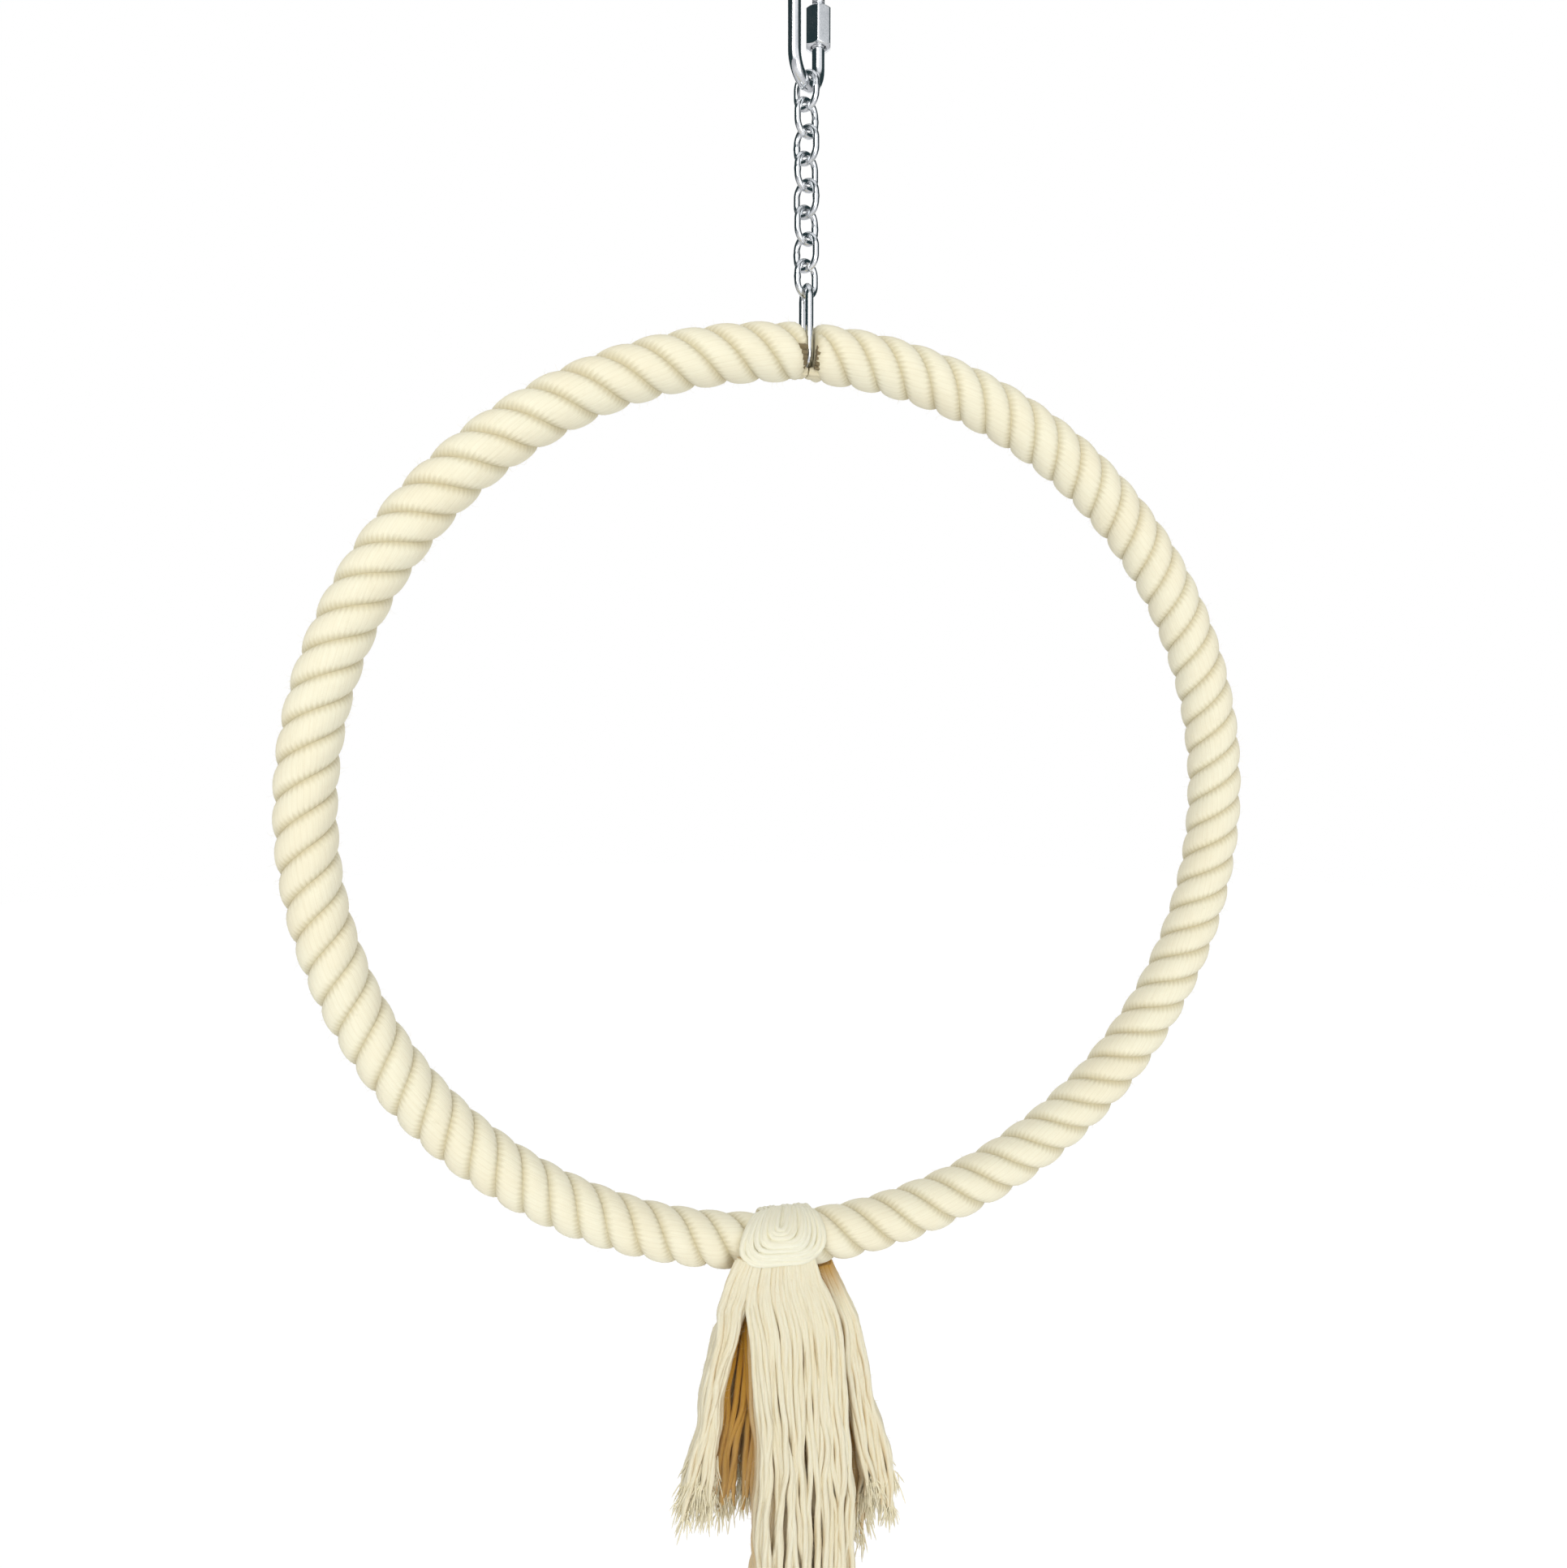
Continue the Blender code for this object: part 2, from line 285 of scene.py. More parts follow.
class NodeGroup:
    """A node tree of its own, with named inputs and outputs."""

    def __init__(self, name: str, kind: str) -> None:
        """Make an empty group.

        Args:
            name: The group's name.
            kind: Its tree's type name.
        """
        self.tree = bpy.data.node_groups.new(name, kind)
        self.graph = Graph(self.tree)
        self.inside = self.graph.add("NodeGroupInput")
        self.outside = self.graph.add("NodeGroupOutput")

    def take(self, kind: Kind, *names: str) -> list[Field]:
        """Add named inputs.

        Args:
            kind: Their kind.
            names: Their names.

        Returns:
            The inputs' values, in order.
        """
        for name in names:
            self.tree.interface.new_socket(name, in_out="INPUT", socket_type=kind.value)
        return [Field(self.graph, self.inside.outputs[name]) for name in names]

    def give(self, kind: Kind, **values: Field) -> None:
        """Add named outputs.

        Args:
            kind: Their kind.
            values: What they give, by name.
        """
        for name in values:
            self.tree.interface.new_socket(name, in_out="OUTPUT", socket_type=kind.value)
        self.graph.fill(self.outside, values)


class EffectGroup(NodeGroup):
    """A shader node group, built once and placed in several materials."""

    def __init__(self, name: str) -> None:
        """Make an empty shader group."""
        super().__init__(name, "ShaderNodeTree")

    def put(self, graph: Graph, **inputs: Operand) -> dict[str, Field]:
        """Place the group in a material.

        Args:
            graph: The material's node tree.
            inputs: Values by input name.

        Returns:
            The placed group's outputs by name.
        """
        node = graph.add("ShaderNodeGroup", inputs, node_tree=self.tree)
        return {socket.name: Field(graph, socket) for socket in node.outputs}


def make_fibre_group() -> EffectGroup:
    """Make the group that draws fine fibres along a strand or a yarn.

    Returns:
        A group that gives streaks from 0 to 1 and a height for a bump.
    """
    group = EffectGroup("fibre_streaks")
    graph = group.graph
    section = group.take(Kind.VECTOR, "Section")[0]
    along, fineness, run = group.take(Kind.NUMBER, "Along", "Fineness", "Run")
    spot = section.vector("SCALE", fineness).vector("ADD", graph.xyz(z=along * run))
    coarse = graph.get("ShaderNodeTexNoise", {"Vector": spot, "Scale": 1.0, "Detail": 3.0, "Roughness": 0.6})
    fine = graph.get("ShaderNodeTexNoise", {"Vector": spot, "Scale": 2.7, "Detail": 2.0, "Roughness": 0.7})
    thin, thick, fine_height = 0.28, 0.72, 0.6
    streak = coarse.ramp(thin, thick)
    group.give(Kind.NUMBER, Streak=streak, Height=fine * fine_height + streak)
    return group


def make_mottle_group() -> EffectGroup:
    """Make the group that gives soft uneven patches in the object's own space.

    Returns:
        A group that gives a patch mask from 0 to 1.
    """
    group = EffectGroup("soft_patches")
    graph = group.graph
    size = group.take(Kind.NUMBER, "Size")[0]
    offset = group.take(Kind.VECTOR, "Offset")[0]
    spot = graph.get("ShaderNodeTexCoord", output="Object").vector("ADD", offset).vector("SCALE", 1.0 / size)
    noise = graph.get("ShaderNodeTexNoise", {"Vector": spot, "Scale": 1.0, "Detail": 3.0})
    edge, middle = 0.32, 0.68
    group.give(Kind.NUMBER, Mask=noise.ramp(edge, middle))
    return group


def new_material(name: str) -> tuple[Material, Graph, bpy.types.Node]:
    """Make a material with a Principled shader.

    Args:
        name: The material's name.

    Returns:
        The material, its node tree and its shader.
    """
    material = bpy.data.materials.new(name)
    material.use_nodes = True
    return material, Graph(material.node_tree), material.node_tree.nodes["Principled BSDF"]


@dataclass(frozen=True)
class CottonFinish:
    """Soft cotton whose fibres follow each strand, paler on its crests than in its grooves and hollows, where
    shade is painted into its colour.
    """

    name: str
    crest: Colour
    tinted: Colour
    # The groove colour is painted shade between the yarn ridges and also tints the fibre streaks; the hollow
    # colour is painted shade where the inner attribute marks creases, deep yarns and inward flanks.
    groove: Colour
    hollow_shade: Colour
    groove_shade_share: float
    hollow_shade_share: float
    fineness: float
    run: float
    bump: float
    bump_depth: float = 0.25 * MM
    ridge_height: float = 0.5
    patch_size: float = 18 * MM
    patch_share: float = 0.45
    shade_share: float = 0.55
    speck_size: float = 1.6 * MM
    speck_offset: Point = (0.3, 0.1, 0.2)
    speck_share: float = 0.12
    streak_share: float = 0.16
    roughness: tuple[float, float] = (0.82, 0.96)
    specular: float = 0.15
    sheen: float = 0.1
    sheen_roughness: float = 0.6

    def make(self, fibres: EffectGroup, patches: EffectGroup) -> Material:
        """Make the material.

        Args:
            fibres: The group of fibre streaks.
            patches: The group of soft patches.

        Returns:
            The material, which reads the attributes that the node trees store.
        """
        material, graph, shader = new_material(self.name)
        section = graph.get("ShaderNodeAttribute", output="Vector", attribute_name="section")
        along, crest, shade, inner = (
            graph.get("ShaderNodeAttribute", output="Fac", attribute_name=name)
            for name in ("along", "crest", "shade", "inner")
        )
        fibre = fibres.put(graph, Section=section, Along=along, Fineness=self.fineness, Run=self.run)
        patch = patches.put(graph, Size=self.patch_size)["Mask"]
        speck = patches.put(graph, Size=self.speck_size, Offset=self.speck_offset)["Mask"]

        colour = graph.blend(patch * self.patch_share + shade * self.shade_share, self.crest, self.tinted)
        # Painted shade: the grooves between the yarn ridges take the groove colour.
        groove_shade_mask = crest.ramp(0.0, self.ridge_height, 1.0, 0.0)
        colour = graph.blend(groove_shade_mask * self.groove_shade_share, colour, self.groove)
        # The fibre streaks, the cotton's own grain, take the groove colour too.
        colour = graph.blend(fibre["Streak"] * self.streak_share, colour, self.groove)
        colour = graph.blend(speck * self.speck_share, colour, self.tinted)
        # Painted shade: what the inner attribute marks as deep takes the hollow colour.
        colour = graph.blend(inner * self.hollow_shade_share, colour, self.hollow_shade)
        bump = {"Strength": self.bump, "Distance": self.bump_depth, "Height": fibre["Height"]}
        graph.fill(
            shader,
            {
                "Base Color": colour,
                "Roughness": fibre["Streak"].ramp(0.0, 1.0, *self.roughness),
                "Specular IOR Level": self.specular,
                "Sheen Weight": self.sheen,
                "Sheen Roughness": self.sheen_roughness,
                "Normal": graph.get("ShaderNodeBump", bump),
            },
        )
        return material


@dataclass(frozen=True)
class MetalFinish:
    """Plated or drawn steel, with a faintly uneven surface, dull patches and fine marks."""

    name: str
    bright: Colour
    dull: Colour
    roughness: tuple[float, float]
    patch_size: float
    mark_size: float
    patch_share: float = 0.6
    mark_share: float = 0.4
    mark_offset: Point = (0.2, 0.5, 0.1)
    worn_band: tuple[float, float] = (0.1, 0.9)
    bump: float = 0.05
    bump_depth: float = 0.05 * MM

    def make(self, patches: EffectGroup) -> Material:
        """Make the material.

        Args:
            patches: The group of soft patches.

        Returns:
            The material.
        """
        material, graph, shader = new_material(self.name)
        patch = patches.put(graph, Size=self.patch_size)["Mask"]
        mark = patches.put(graph, Size=self.mark_size, Offset=self.mark_offset)["Mask"]
        worn = mark * self.mark_share + patch * self.patch_share
        bump = {"Strength": self.bump, "Distance": self.bump_depth, "Height": mark}
        graph.fill(
            shader,
            {
                "Metallic": 1.0,
                "Base Color": graph.blend(worn, self.bright, self.dull),
                "Roughness": worn.ramp(*self.worn_band, *self.roughness),
                "Normal": graph.get("ShaderNodeBump", bump),
            },
        )
        return material


class NodeShape(NodeGroup):
    """A Geometry Nodes tree with an input for each field of a dataclass, run once for each piece."""

    KINDS: dict[type, Kind] = {float: Kind.NUMBER, int: Kind.COUNT, Point: Kind.VECTOR}

    def __init__(self, name: str, sizes: type) -> None:
        """Make a tree that takes geometry, sizes and a finish.

        Args:
            name: The tree's name.
            sizes: The dataclass whose fields name the inputs.
        """
        super().__init__(name, "GeometryNodeTree")
        self.source = self.take(Kind.GEOMETRY, "Geometry")[0]
        inputs = {size.name: self.take(self.KINDS[size.type], size.name)[0] for size in fields(sizes)}
        self.sizes = SimpleNamespace(**inputs)
        self.finish = self.take(Kind.FINISH, "finish")[0]

    def store(self, geometry: Field, name: str, value: Operand, kind: str = "FLOAT") -> Field:
        """Store a named attribute for the materials to read.

        Args:
            geometry: The geometry that gets it.
            name: The attribute's name.
            value: Its value.
            kind: Its data type.

        Returns:
            The geometry with the attribute.
        """
        inputs = {"Geometry": geometry, "Name": name, "Value": value}
        return self.graph.get("GeometryNodeStoreNamedAttribute", inputs, data_type=kind)

    def lobed_section(self, points: Field, radius: Field, lobes: Field, depth: Field) -> Field:
        """Make a round section with ridges, and store how high each point of it is, from which the materials
        paint shade in the grooves.

        Args:
            points: How many points it has.
            radius: Its outer radius.
            lobes: How many ridges it has.
            depth: The depth of the grooves as a share of the radius.

        Returns:
            The section's curve.
        """
        rounding = 0.6
        spot = self.graph.spot()
        crest = (self.graph.along("Factor") * math.pi * lobes).math("SINE").math("ABSOLUTE")
        marked = self.store(self.graph.circle(points, 1.0), "section", spot, "FLOAT_VECTOR")
        marked = self.store(marked, "crest", crest)
        size = radius * (1.0 - depth * (1.0 - crest**rounding))
        return self.graph.move(marked, Position=spot.vector("SCALE", size))

    def close(self, geometry: Field) -> None:
        """End the tree with smooth shading, real geometry and a finish.

        Args:
            geometry: The shape to give out.
        """
        smooth = self.graph.get("GeometryNodeSetShadeSmooth", {"Geometry": geometry})
        real = self.graph.get("GeometryNodeRealizeInstances", {"Geometry": smooth})
        done = self.graph.get("GeometryNodeSetMaterial", {"Geometry": real, "Material": self.finish})
        self.give(Kind.GEOMETRY, Geometry=done)

    def run(self, name: str, sizes: "Sizes", finish: Material, source: Mesh | None = None) -> Piece:
        """Run the tree.

        Args:
            name: The new piece's name.
            sizes: The values of its inputs.
            finish: The piece's material.
            source: The mesh that the tree starts from, if it needs one.

        Returns:
            The piece, a plain mesh with no modifier.
        """
        carrier = bpy.data.objects.new(name + "_source", source or bpy.data.meshes.new(name))
        bpy.context.scene.collection.objects.link(carrier)
        modifier = carrier.modifiers.new("shape", "NODES")
        modifier.node_group = self.tree
        values = {**vars(sizes), "finish": finish}
        for item in self.tree.interface.items_tree:
            if item.in_out == "INPUT" and item.name in values:
                modifier[item.identifier] = values[item.name]
        evaluated = carrier.evaluated_get(bpy.context.evaluated_depsgraph_get())
        mesh = bpy.data.meshes.new_from_object(evaluated)
        mesh.name = name
        carrier.modifiers.remove(modifier)
        bpy.data.objects.remove(carrier)
        return add_piece(name, mesh)


def add_piece(name: str, mesh: Mesh) -> Piece:
    """Put a mesh into the scene as a piece at the origin.

    Args:
        name: The piece's name.
        mesh: Its mesh, with its place in it.

    Returns:
        The piece.
    """
    piece = bpy.data.objects.new(name, mesh)
    bpy.context.scene.collection.objects.link(piece)
    return piece


def settle(piece: Piece, body: str, slot: Slot, *nodes: str) -> None:
    """Let a piece ride on its body and stand for its CAD nodes.

    Args:
        piece: The finished piece.
        body: The CAD body that carries it.
        slot: The record's material slot; not used.
        nodes: The CAD nodes that it replaces.
    """
    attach(piece, body)
    if nodes:
        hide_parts(*nodes)
    LOG.info("%s rides on %s, %d faces", piece.name, body, len(piece.data.polygons))


@dataclass(frozen=True)
class WireLoop:
    """A loop of bent wire, measured between the wire's centres: its sizes, turn, flattening and weld."""

    half_width: float
    straight: float
    radius: float
    middle: float
    turn: float = 0.0
    oval: float = 1.0
    weld: float = 0.0
    steps: int = 120
    sides: int = 24


def make_wire_loop_tree() -> NodeShape:
    """Make the tree for links of bent wire: a long round loop with a weld on one side.

    Returns:
        The tree.
    """
    weld_reach = 0.8
    micrometres = 1e6
    shape = NodeShape("wire_loop", WireLoop)
    graph, loop = shape.graph, shape.sizes
    x, y, _ = graph.spot().split()
    # Rounded, so that the two points at half height belong to neither bend.
    side = (y * micrometres).math("ROUND").math("SIGN")
    height = side * (loop.straight * 0.5) + y * loop.oval
    bent = graph.move(graph.circle(loop.steps, loop.half_width), Position=graph.xyz(x, z=height))
    x, _, z = graph.spot().split()
    reach = z / (loop.radius * weld_reach)
    bulge = (reach * reach * -1.0).math("EXPONENT") * x.math("GREATER_THAN", 0.0)
    section = graph.circle(loop.sides, loop.radius)
    tube = graph.sweep(graph.even(bent, loop.steps), section, bulge * loop.weld + 1.0)
    turned = graph.get("FunctionNodeEulerToRotation", {0: graph.xyz(z=loop.turn)})
    place = {"Geometry": tube, "Translation": graph.xyz(z=loop.middle), "Rotation": turned}
    shape.close(graph.get("GeometryNodeTransform", place))
    return shape


@dataclass(frozen=True)
class Strand:
    """One strand of a rope laid round an oval ring: the ring, the strand, its lay and its yarns."""

    half_width: float
    half_height: float
    centre: float
    start: float
    end: float
    offset: float = 4.2 * MM
    radius: float = 4.8 * MM
    crease: float = 7.6 * MM
    lay: float = 30.0
    drift: float = 0.03
    tightest: float = math.radians(225.0)
    phase: float = 0.0
    twist: float = math.tau * -56.0
    groove: float = 0.006
    yarns: int = 13
    steps: int = 1100
    points: int = 52


def ring_place(ring: SimpleNamespace, angle: Field) -> tuple[Field, Field, Field, Field]:
    """Find a place on an oval ring.

    Args:
        ring: The sizes of a strand's tree.
        angle: The place's angle, clockwise from the ring's top.

    Returns:
        The place's X and Z from the ring's centre, and the X and Z of the way out there.
    """
    sine, cosine = angle.math("SINE"), angle.math("COSINE")
    way_x, way_z = ring.half_height * sine, ring.half_width * cosine
    length = (way_x * way_x + way_z * way_z).math("SQRT")
    return ring.half_width * sine, ring.half_height * cosine, way_x / length, way_z / length


def make_strand_tree() -> NodeShape:
    """Make the tree for one strand of a rope that is laid round an oval ring.

    Returns:
        The tree.
    """
    wobble_scale, wobble_size, wobble_least = 60.0, 0.06, 0.97
    shape = NodeShape("rope_strand", Strand)
    graph, rope = shape.graph, shape.sizes
    even = graph.even(graph.get("GeometryNodeCurvePrimitiveLine"), rope.steps)
    share = graph.along("Factor")
    around = share * (rope.end - rope.start) + rope.start
    drifted = ((around - rope.tightest) * 2.0).math("SINE") * rope.drift + around
    laid = rope.phase - drifted * rope.lay
    wobble = graph.get("ShaderNodeTexNoise", {"W": share, "Scale": wobble_scale}, noise_dimensions="1D")
    uneven = rope.offset * (wobble * wobble_size + wobble_least)
    out = uneven * laid.math("COSINE")
    core_x, core_z, way_x, way_z = ring_place(rope, around)
    spot = graph.xyz(out * way_x + core_x, uneven * laid.math("SINE"), out * way_z + core_z + rope.centre)
    helix = shape.store(graph.move(even, Position=spot), "along", graph.along("Length"))
    wound = graph.get("GeometryNodeSetCurveTilt", {"Curve": helix, "Tilt": share * rope.twist})
    tube = graph.sweep(wound, shape.lobed_section(rope.points, rope.radius, rope.yarns, rope.groove))
    shape.close(press_strand(shape, tube))
    return shape


def press_strand(shape: NodeShape, tube: Field) -> Field:
    """Flatten a strand's outer side, as rope is pressed when it is laid, and mark its creases for painted
    shade.

    Args:
        shape: The strand's tree.
        tube: The round strand.

    Returns:
        The pressed strand.
    """
    flatness, deepest, clear = 0.55, -0.05, 0.42
    graph, rope = shape.graph, shape.sizes
    x, y, z = graph.spot().split()
    level = z - rope.centre
    angle = (x / rope.half_width).math("ARCTAN2", level / rope.half_height)
    core_x, core_z, way_x, way_z = ring_place(rope, angle)
    outward = (level - core_z) * way_z + (x - core_x) * way_x
    from_core = (outward * outward + y * y).math("SQRT")
    band = rope.offset + rope.radius - rope.crease
    rise = (from_core - rope.crease) / band
    risen = rise.math("MAXIMUM", 0.0).math("MINIMUM", 1.0)
    pressed = risen**flatness * band + rope.crease
    growth = (pressed / from_core - 1.0) * rise.math("GREATER_THAN", 0.0)
    outer = outward * growth
    # Painted shade: the creases between the strands are marked deep, so the materials give them the hollow
    # colour.
    marked = shape.store(tube, "inner", rise.ramp(deepest, clear, 1.0, 0.0))
    return graph.move(marked, Offset=graph.xyz(outer * way_x, y * growth, outer * way_z))


@dataclass(frozen=True)
class YarnStyle:
    """How yarns are spun, how far they stray and part, and how much shade is painted on the flanks that face
    their heart.
    """

    radius: float
    twist: float = 0.0
    plies: int = 1
    points: int = 4
    groove: float = 0.0
    taper: float = 0.0
    step: float = 1.6 * MM
    wander: float = 0.0
    parting: float = 0.0
    shading: float = 0.0
    outline: Point = (1.0, 1.0, 0.0)
    heart: Point = (0.0, 0.0, 0.0)
    seed: int = 0


def make_yarn_tree() -> NodeShape:
    """Make the tree that turns drawn routes into twisted yarns, which stray and taper towards their tips.

    Returns:
        The tree.
    """
    fibre_shift, stray_scale = 0.37, 42.0
    thinnest, thickness_spread = 0.87, 0.25
    noise_middle, freed, tip_start = (0.5, 0.5, 0.5), 0.6, 0.9
    outer_side, inner_side = 0.6, -0.3
    shape = NodeShape("twisted_yarns", YarnStyle)
    graph, yarn = shape.graph, shape.sizes
    routes = graph.get("GeometryNodeMeshToCurve", {"Mesh": shape.source})
    even = graph.get("GeometryNodeResampleCurve", {"Curve": routes, "Length": yarn.step}, mode="LENGTH")
    number = graph.get("GeometryNodeCurveOfPoint", output="Curve Index")
    chance = {"ID": number, "Seed": yarn.seed}
    shade = graph.get("FunctionNodeRandomValue", chance, "Value", data_type="FLOAT")
    share, length = graph.along("Factor"), graph.along("Length")
    even = shape.store(even, "shade", shade)
    even = shape.store(even, "along", number * fibre_shift + length)
    noise = {"Vector": graph.spot(), "W": number * yarn.parting, "Scale": stray_scale, "Detail": 1.0}
    stray = graph.get("ShaderNodeTexNoise", noise, "Color", noise_dimensions="4D")
    stray = stray.vector("SUBTRACT", noise_middle).vector("SCALE", yarn.wander * share.ramp(0.0, freed))
    tilt = length * yarn.twist + shade * math.tau
    wound = graph.get("GeometryNodeSetCurveTilt", {"Curve": graph.move(even, Offset=stray), "Tilt": tilt})
    size = (1.0 - share.ramp(tip_start, 1.0) * yarn.taper) * (shade * thickness_spread + thinnest)
    section = shape.lobed_section(yarn.points, yarn.radius, yarn.plies, yarn.groove)
    tube = graph.sweep(wound, section, size, caps=True)

    # Painted shade: a flank that faces the heart is marked as deep, as well as a yarn that lies deep in its
    # bunch, and the materials darken what is deep with their hollow colour.
    outward = graph.spot().vector("SUBTRACT", yarn.heart).vector("MULTIPLY", yarn.outline)
    facing = graph.get("GeometryNodeInputNormal").vector("DOT_PRODUCT", outward.vector("NORMALIZE"))
    flank_shade = facing.ramp(outer_side, inner_side) * yarn.shading
    deep = graph.get("GeometryNodeInputNamedAttribute", {"Name": "inner"}, "Attribute", data_type="FLOAT")
    shape.close(shape.store(tube, "inner", 1.0 - (1.0 - deep) * (1.0 - flank_shade)))
    return shape


@dataclass(frozen=True)
class FuzzStyle:
    """Short loose fibres: their length and radius, and how many stand on a square metre."""

    length: float
    radius: float
    density: float
    seed: int = 0


Sizes = WireLoop | Strand | YarnStyle | FuzzStyle


def make_fuzz_tree() -> NodeShape:
    """Make the tree that scatters short bent fibres over a surface.

    Returns:
        The tree.
    """
    bend, thinning, shortest = 0.7, 0.75, 0.35
    lean = (0.9, 0.9, math.pi)
    shape = NodeShape("loose_fibres", FuzzStyle)
    graph, fuzz = shape.graph, shape.sizes
    roots = graph.add(
        "GeometryNodeDistributePointsOnFaces",
        {"Mesh": shape.source, "Density": fuzz.density, "Seed": fuzz.seed},
        distribute_method="RANDOM",
    ).outputs
    knee, tip = graph.xyz(z=fuzz.length * bend), graph.xyz(fuzz.length * bend, z=fuzz.length)
    fibre = {"Resolution": 3, "Start": (0.0, 0.0, 0.0), "Middle": knee, "End": tip}
    curve = graph.get("GeometryNodeCurveQuadraticBezier", fibre)
    hair = graph.sweep(curve, graph.circle(3, fuzz.radius), 1.0 - graph.along("Factor") * thinning, caps=True)
    turns = {"Min": tuple(-angle for angle in lean), "Max": lean, "Seed": fuzz.seed}
    turn = graph.get("FunctionNodeRandomValue", turns, "Value", data_type="FLOAT_VECTOR")
    leaning = {
        "Rotation": Field(graph, roots["Rotation"]),
        "Rotate By": graph.get("FunctionNodeEulerToRotation", {0: turn}),
    }
    sizes = {"Min": shortest, "Max": 1.0, "Seed": fuzz.seed}
    placed = {
        "Points": Field(graph, roots["Points"]),
        # Loose fibres count as crests, so they get no painted groove shade.
        "Instance": shape.store(hair, "crest", 1.0),
        "Rotation": graph.get("FunctionNodeRotateRotation", leaning, rotation_space="LOCAL"),
        "Scale": graph.get("FunctionNodeRandomValue", sizes, "Value", data_type="FLOAT"),
    }
    shape.close(graph.get("GeometryNodeInstanceOnPoints", placed))
    return shape


@dataclass(frozen=True)
class Route:
    """The way of one yarn or fibre, how deep in its bunch it and its root lie, and how far that fades; the
    depth is painted as shade.
    """

    points: list[Point]
    inner: float = 0.0
    fade: float = 0.0
    root: float = 0.0

    def depth(self, share: float) -> float:
        """Give how deep the route lies at a share of its length, which sets its painted shade.

        Args:
            share: The share, from 0 at its root to 1 at its tip.

        Returns:
            The depth, from 0 on the outside to 1 in the heart.
        """
        root_fade = 8.0
        return max(self.inner * (1.0 - self.fade * share**2), self.root * (1.0 - root_fade * share))


def route_mesh(routes: list[Route]) -> Mesh:
    """Draw routes as runs of edges, for the yarn tree to start from.

    Args:
        routes: The routes.

    Returns:
        A mesh of edges, with each route's depth stored on its points as the inner attribute, for painted
        shade.
    """
    points, edges, depths = [], [], []
    for route in routes:
        first, count = len(points), len(route.points)
        points.extend(route.points)
        edges.extend((first + step, first + step + 1) for step in range(count - 1))
        depths.extend(route.depth(step / count) for step in range(count))
    mesh = bpy.data.meshes.new("yarn_routes")
    mesh.from_pydata(points, edges, [])
    mesh.attributes.new("inner", "FLOAT", "POINT").data.foreach_set("value", depths)
    return mesh


def either_way(chance: np.random.Generator, spread: float) -> float:
    """Draw a number between minus and plus a spread."""
    return chance.uniform(-spread, spread)


def skin_rings(name: str, rings: np.ndarray, closed: bool) -> Mesh:
    """Join rings of points into one surface that faces outwards.

    Args:
        name: The mesh's name.
        rings: Points, as rings by sides by three.
        closed: True where the last ring joins the first; otherwise the ends are capped.

    Returns:
        The mesh, shaded smooth with its edges kept.
    """
    count, sides = rings.shape[:2]
    faces = []
    for ring in range(count if closed else count - 1):
        near, far = ring * sides, (ring + 1) % count * sides
        for side in range(sides):
            after = (side + 1) % sides
            faces.append((near + side, near + after, far + after, far + side))
    if not closed:
        faces += [tuple(range(sides)), tuple(range(count * sides - 1, (count - 1) * sides - 1, -1))]
    mesh = bpy.data.meshes.new(name)
    mesh.from_pydata(rings.reshape(-1, 3).tolist(), [], faces)
    bm = bmesh.new()
    bm.from_mesh(mesh)
    bmesh.ops.recalc_face_normals(bm, faces=bm.faces)
    bm.to_mesh(mesh)
    bm.free()
    mesh.polygons.foreach_set("use_smooth", [True] * len(mesh.polygons))
    mesh.set_sharp_from_angle(angle=SHARP_ANGLE)
    return mesh


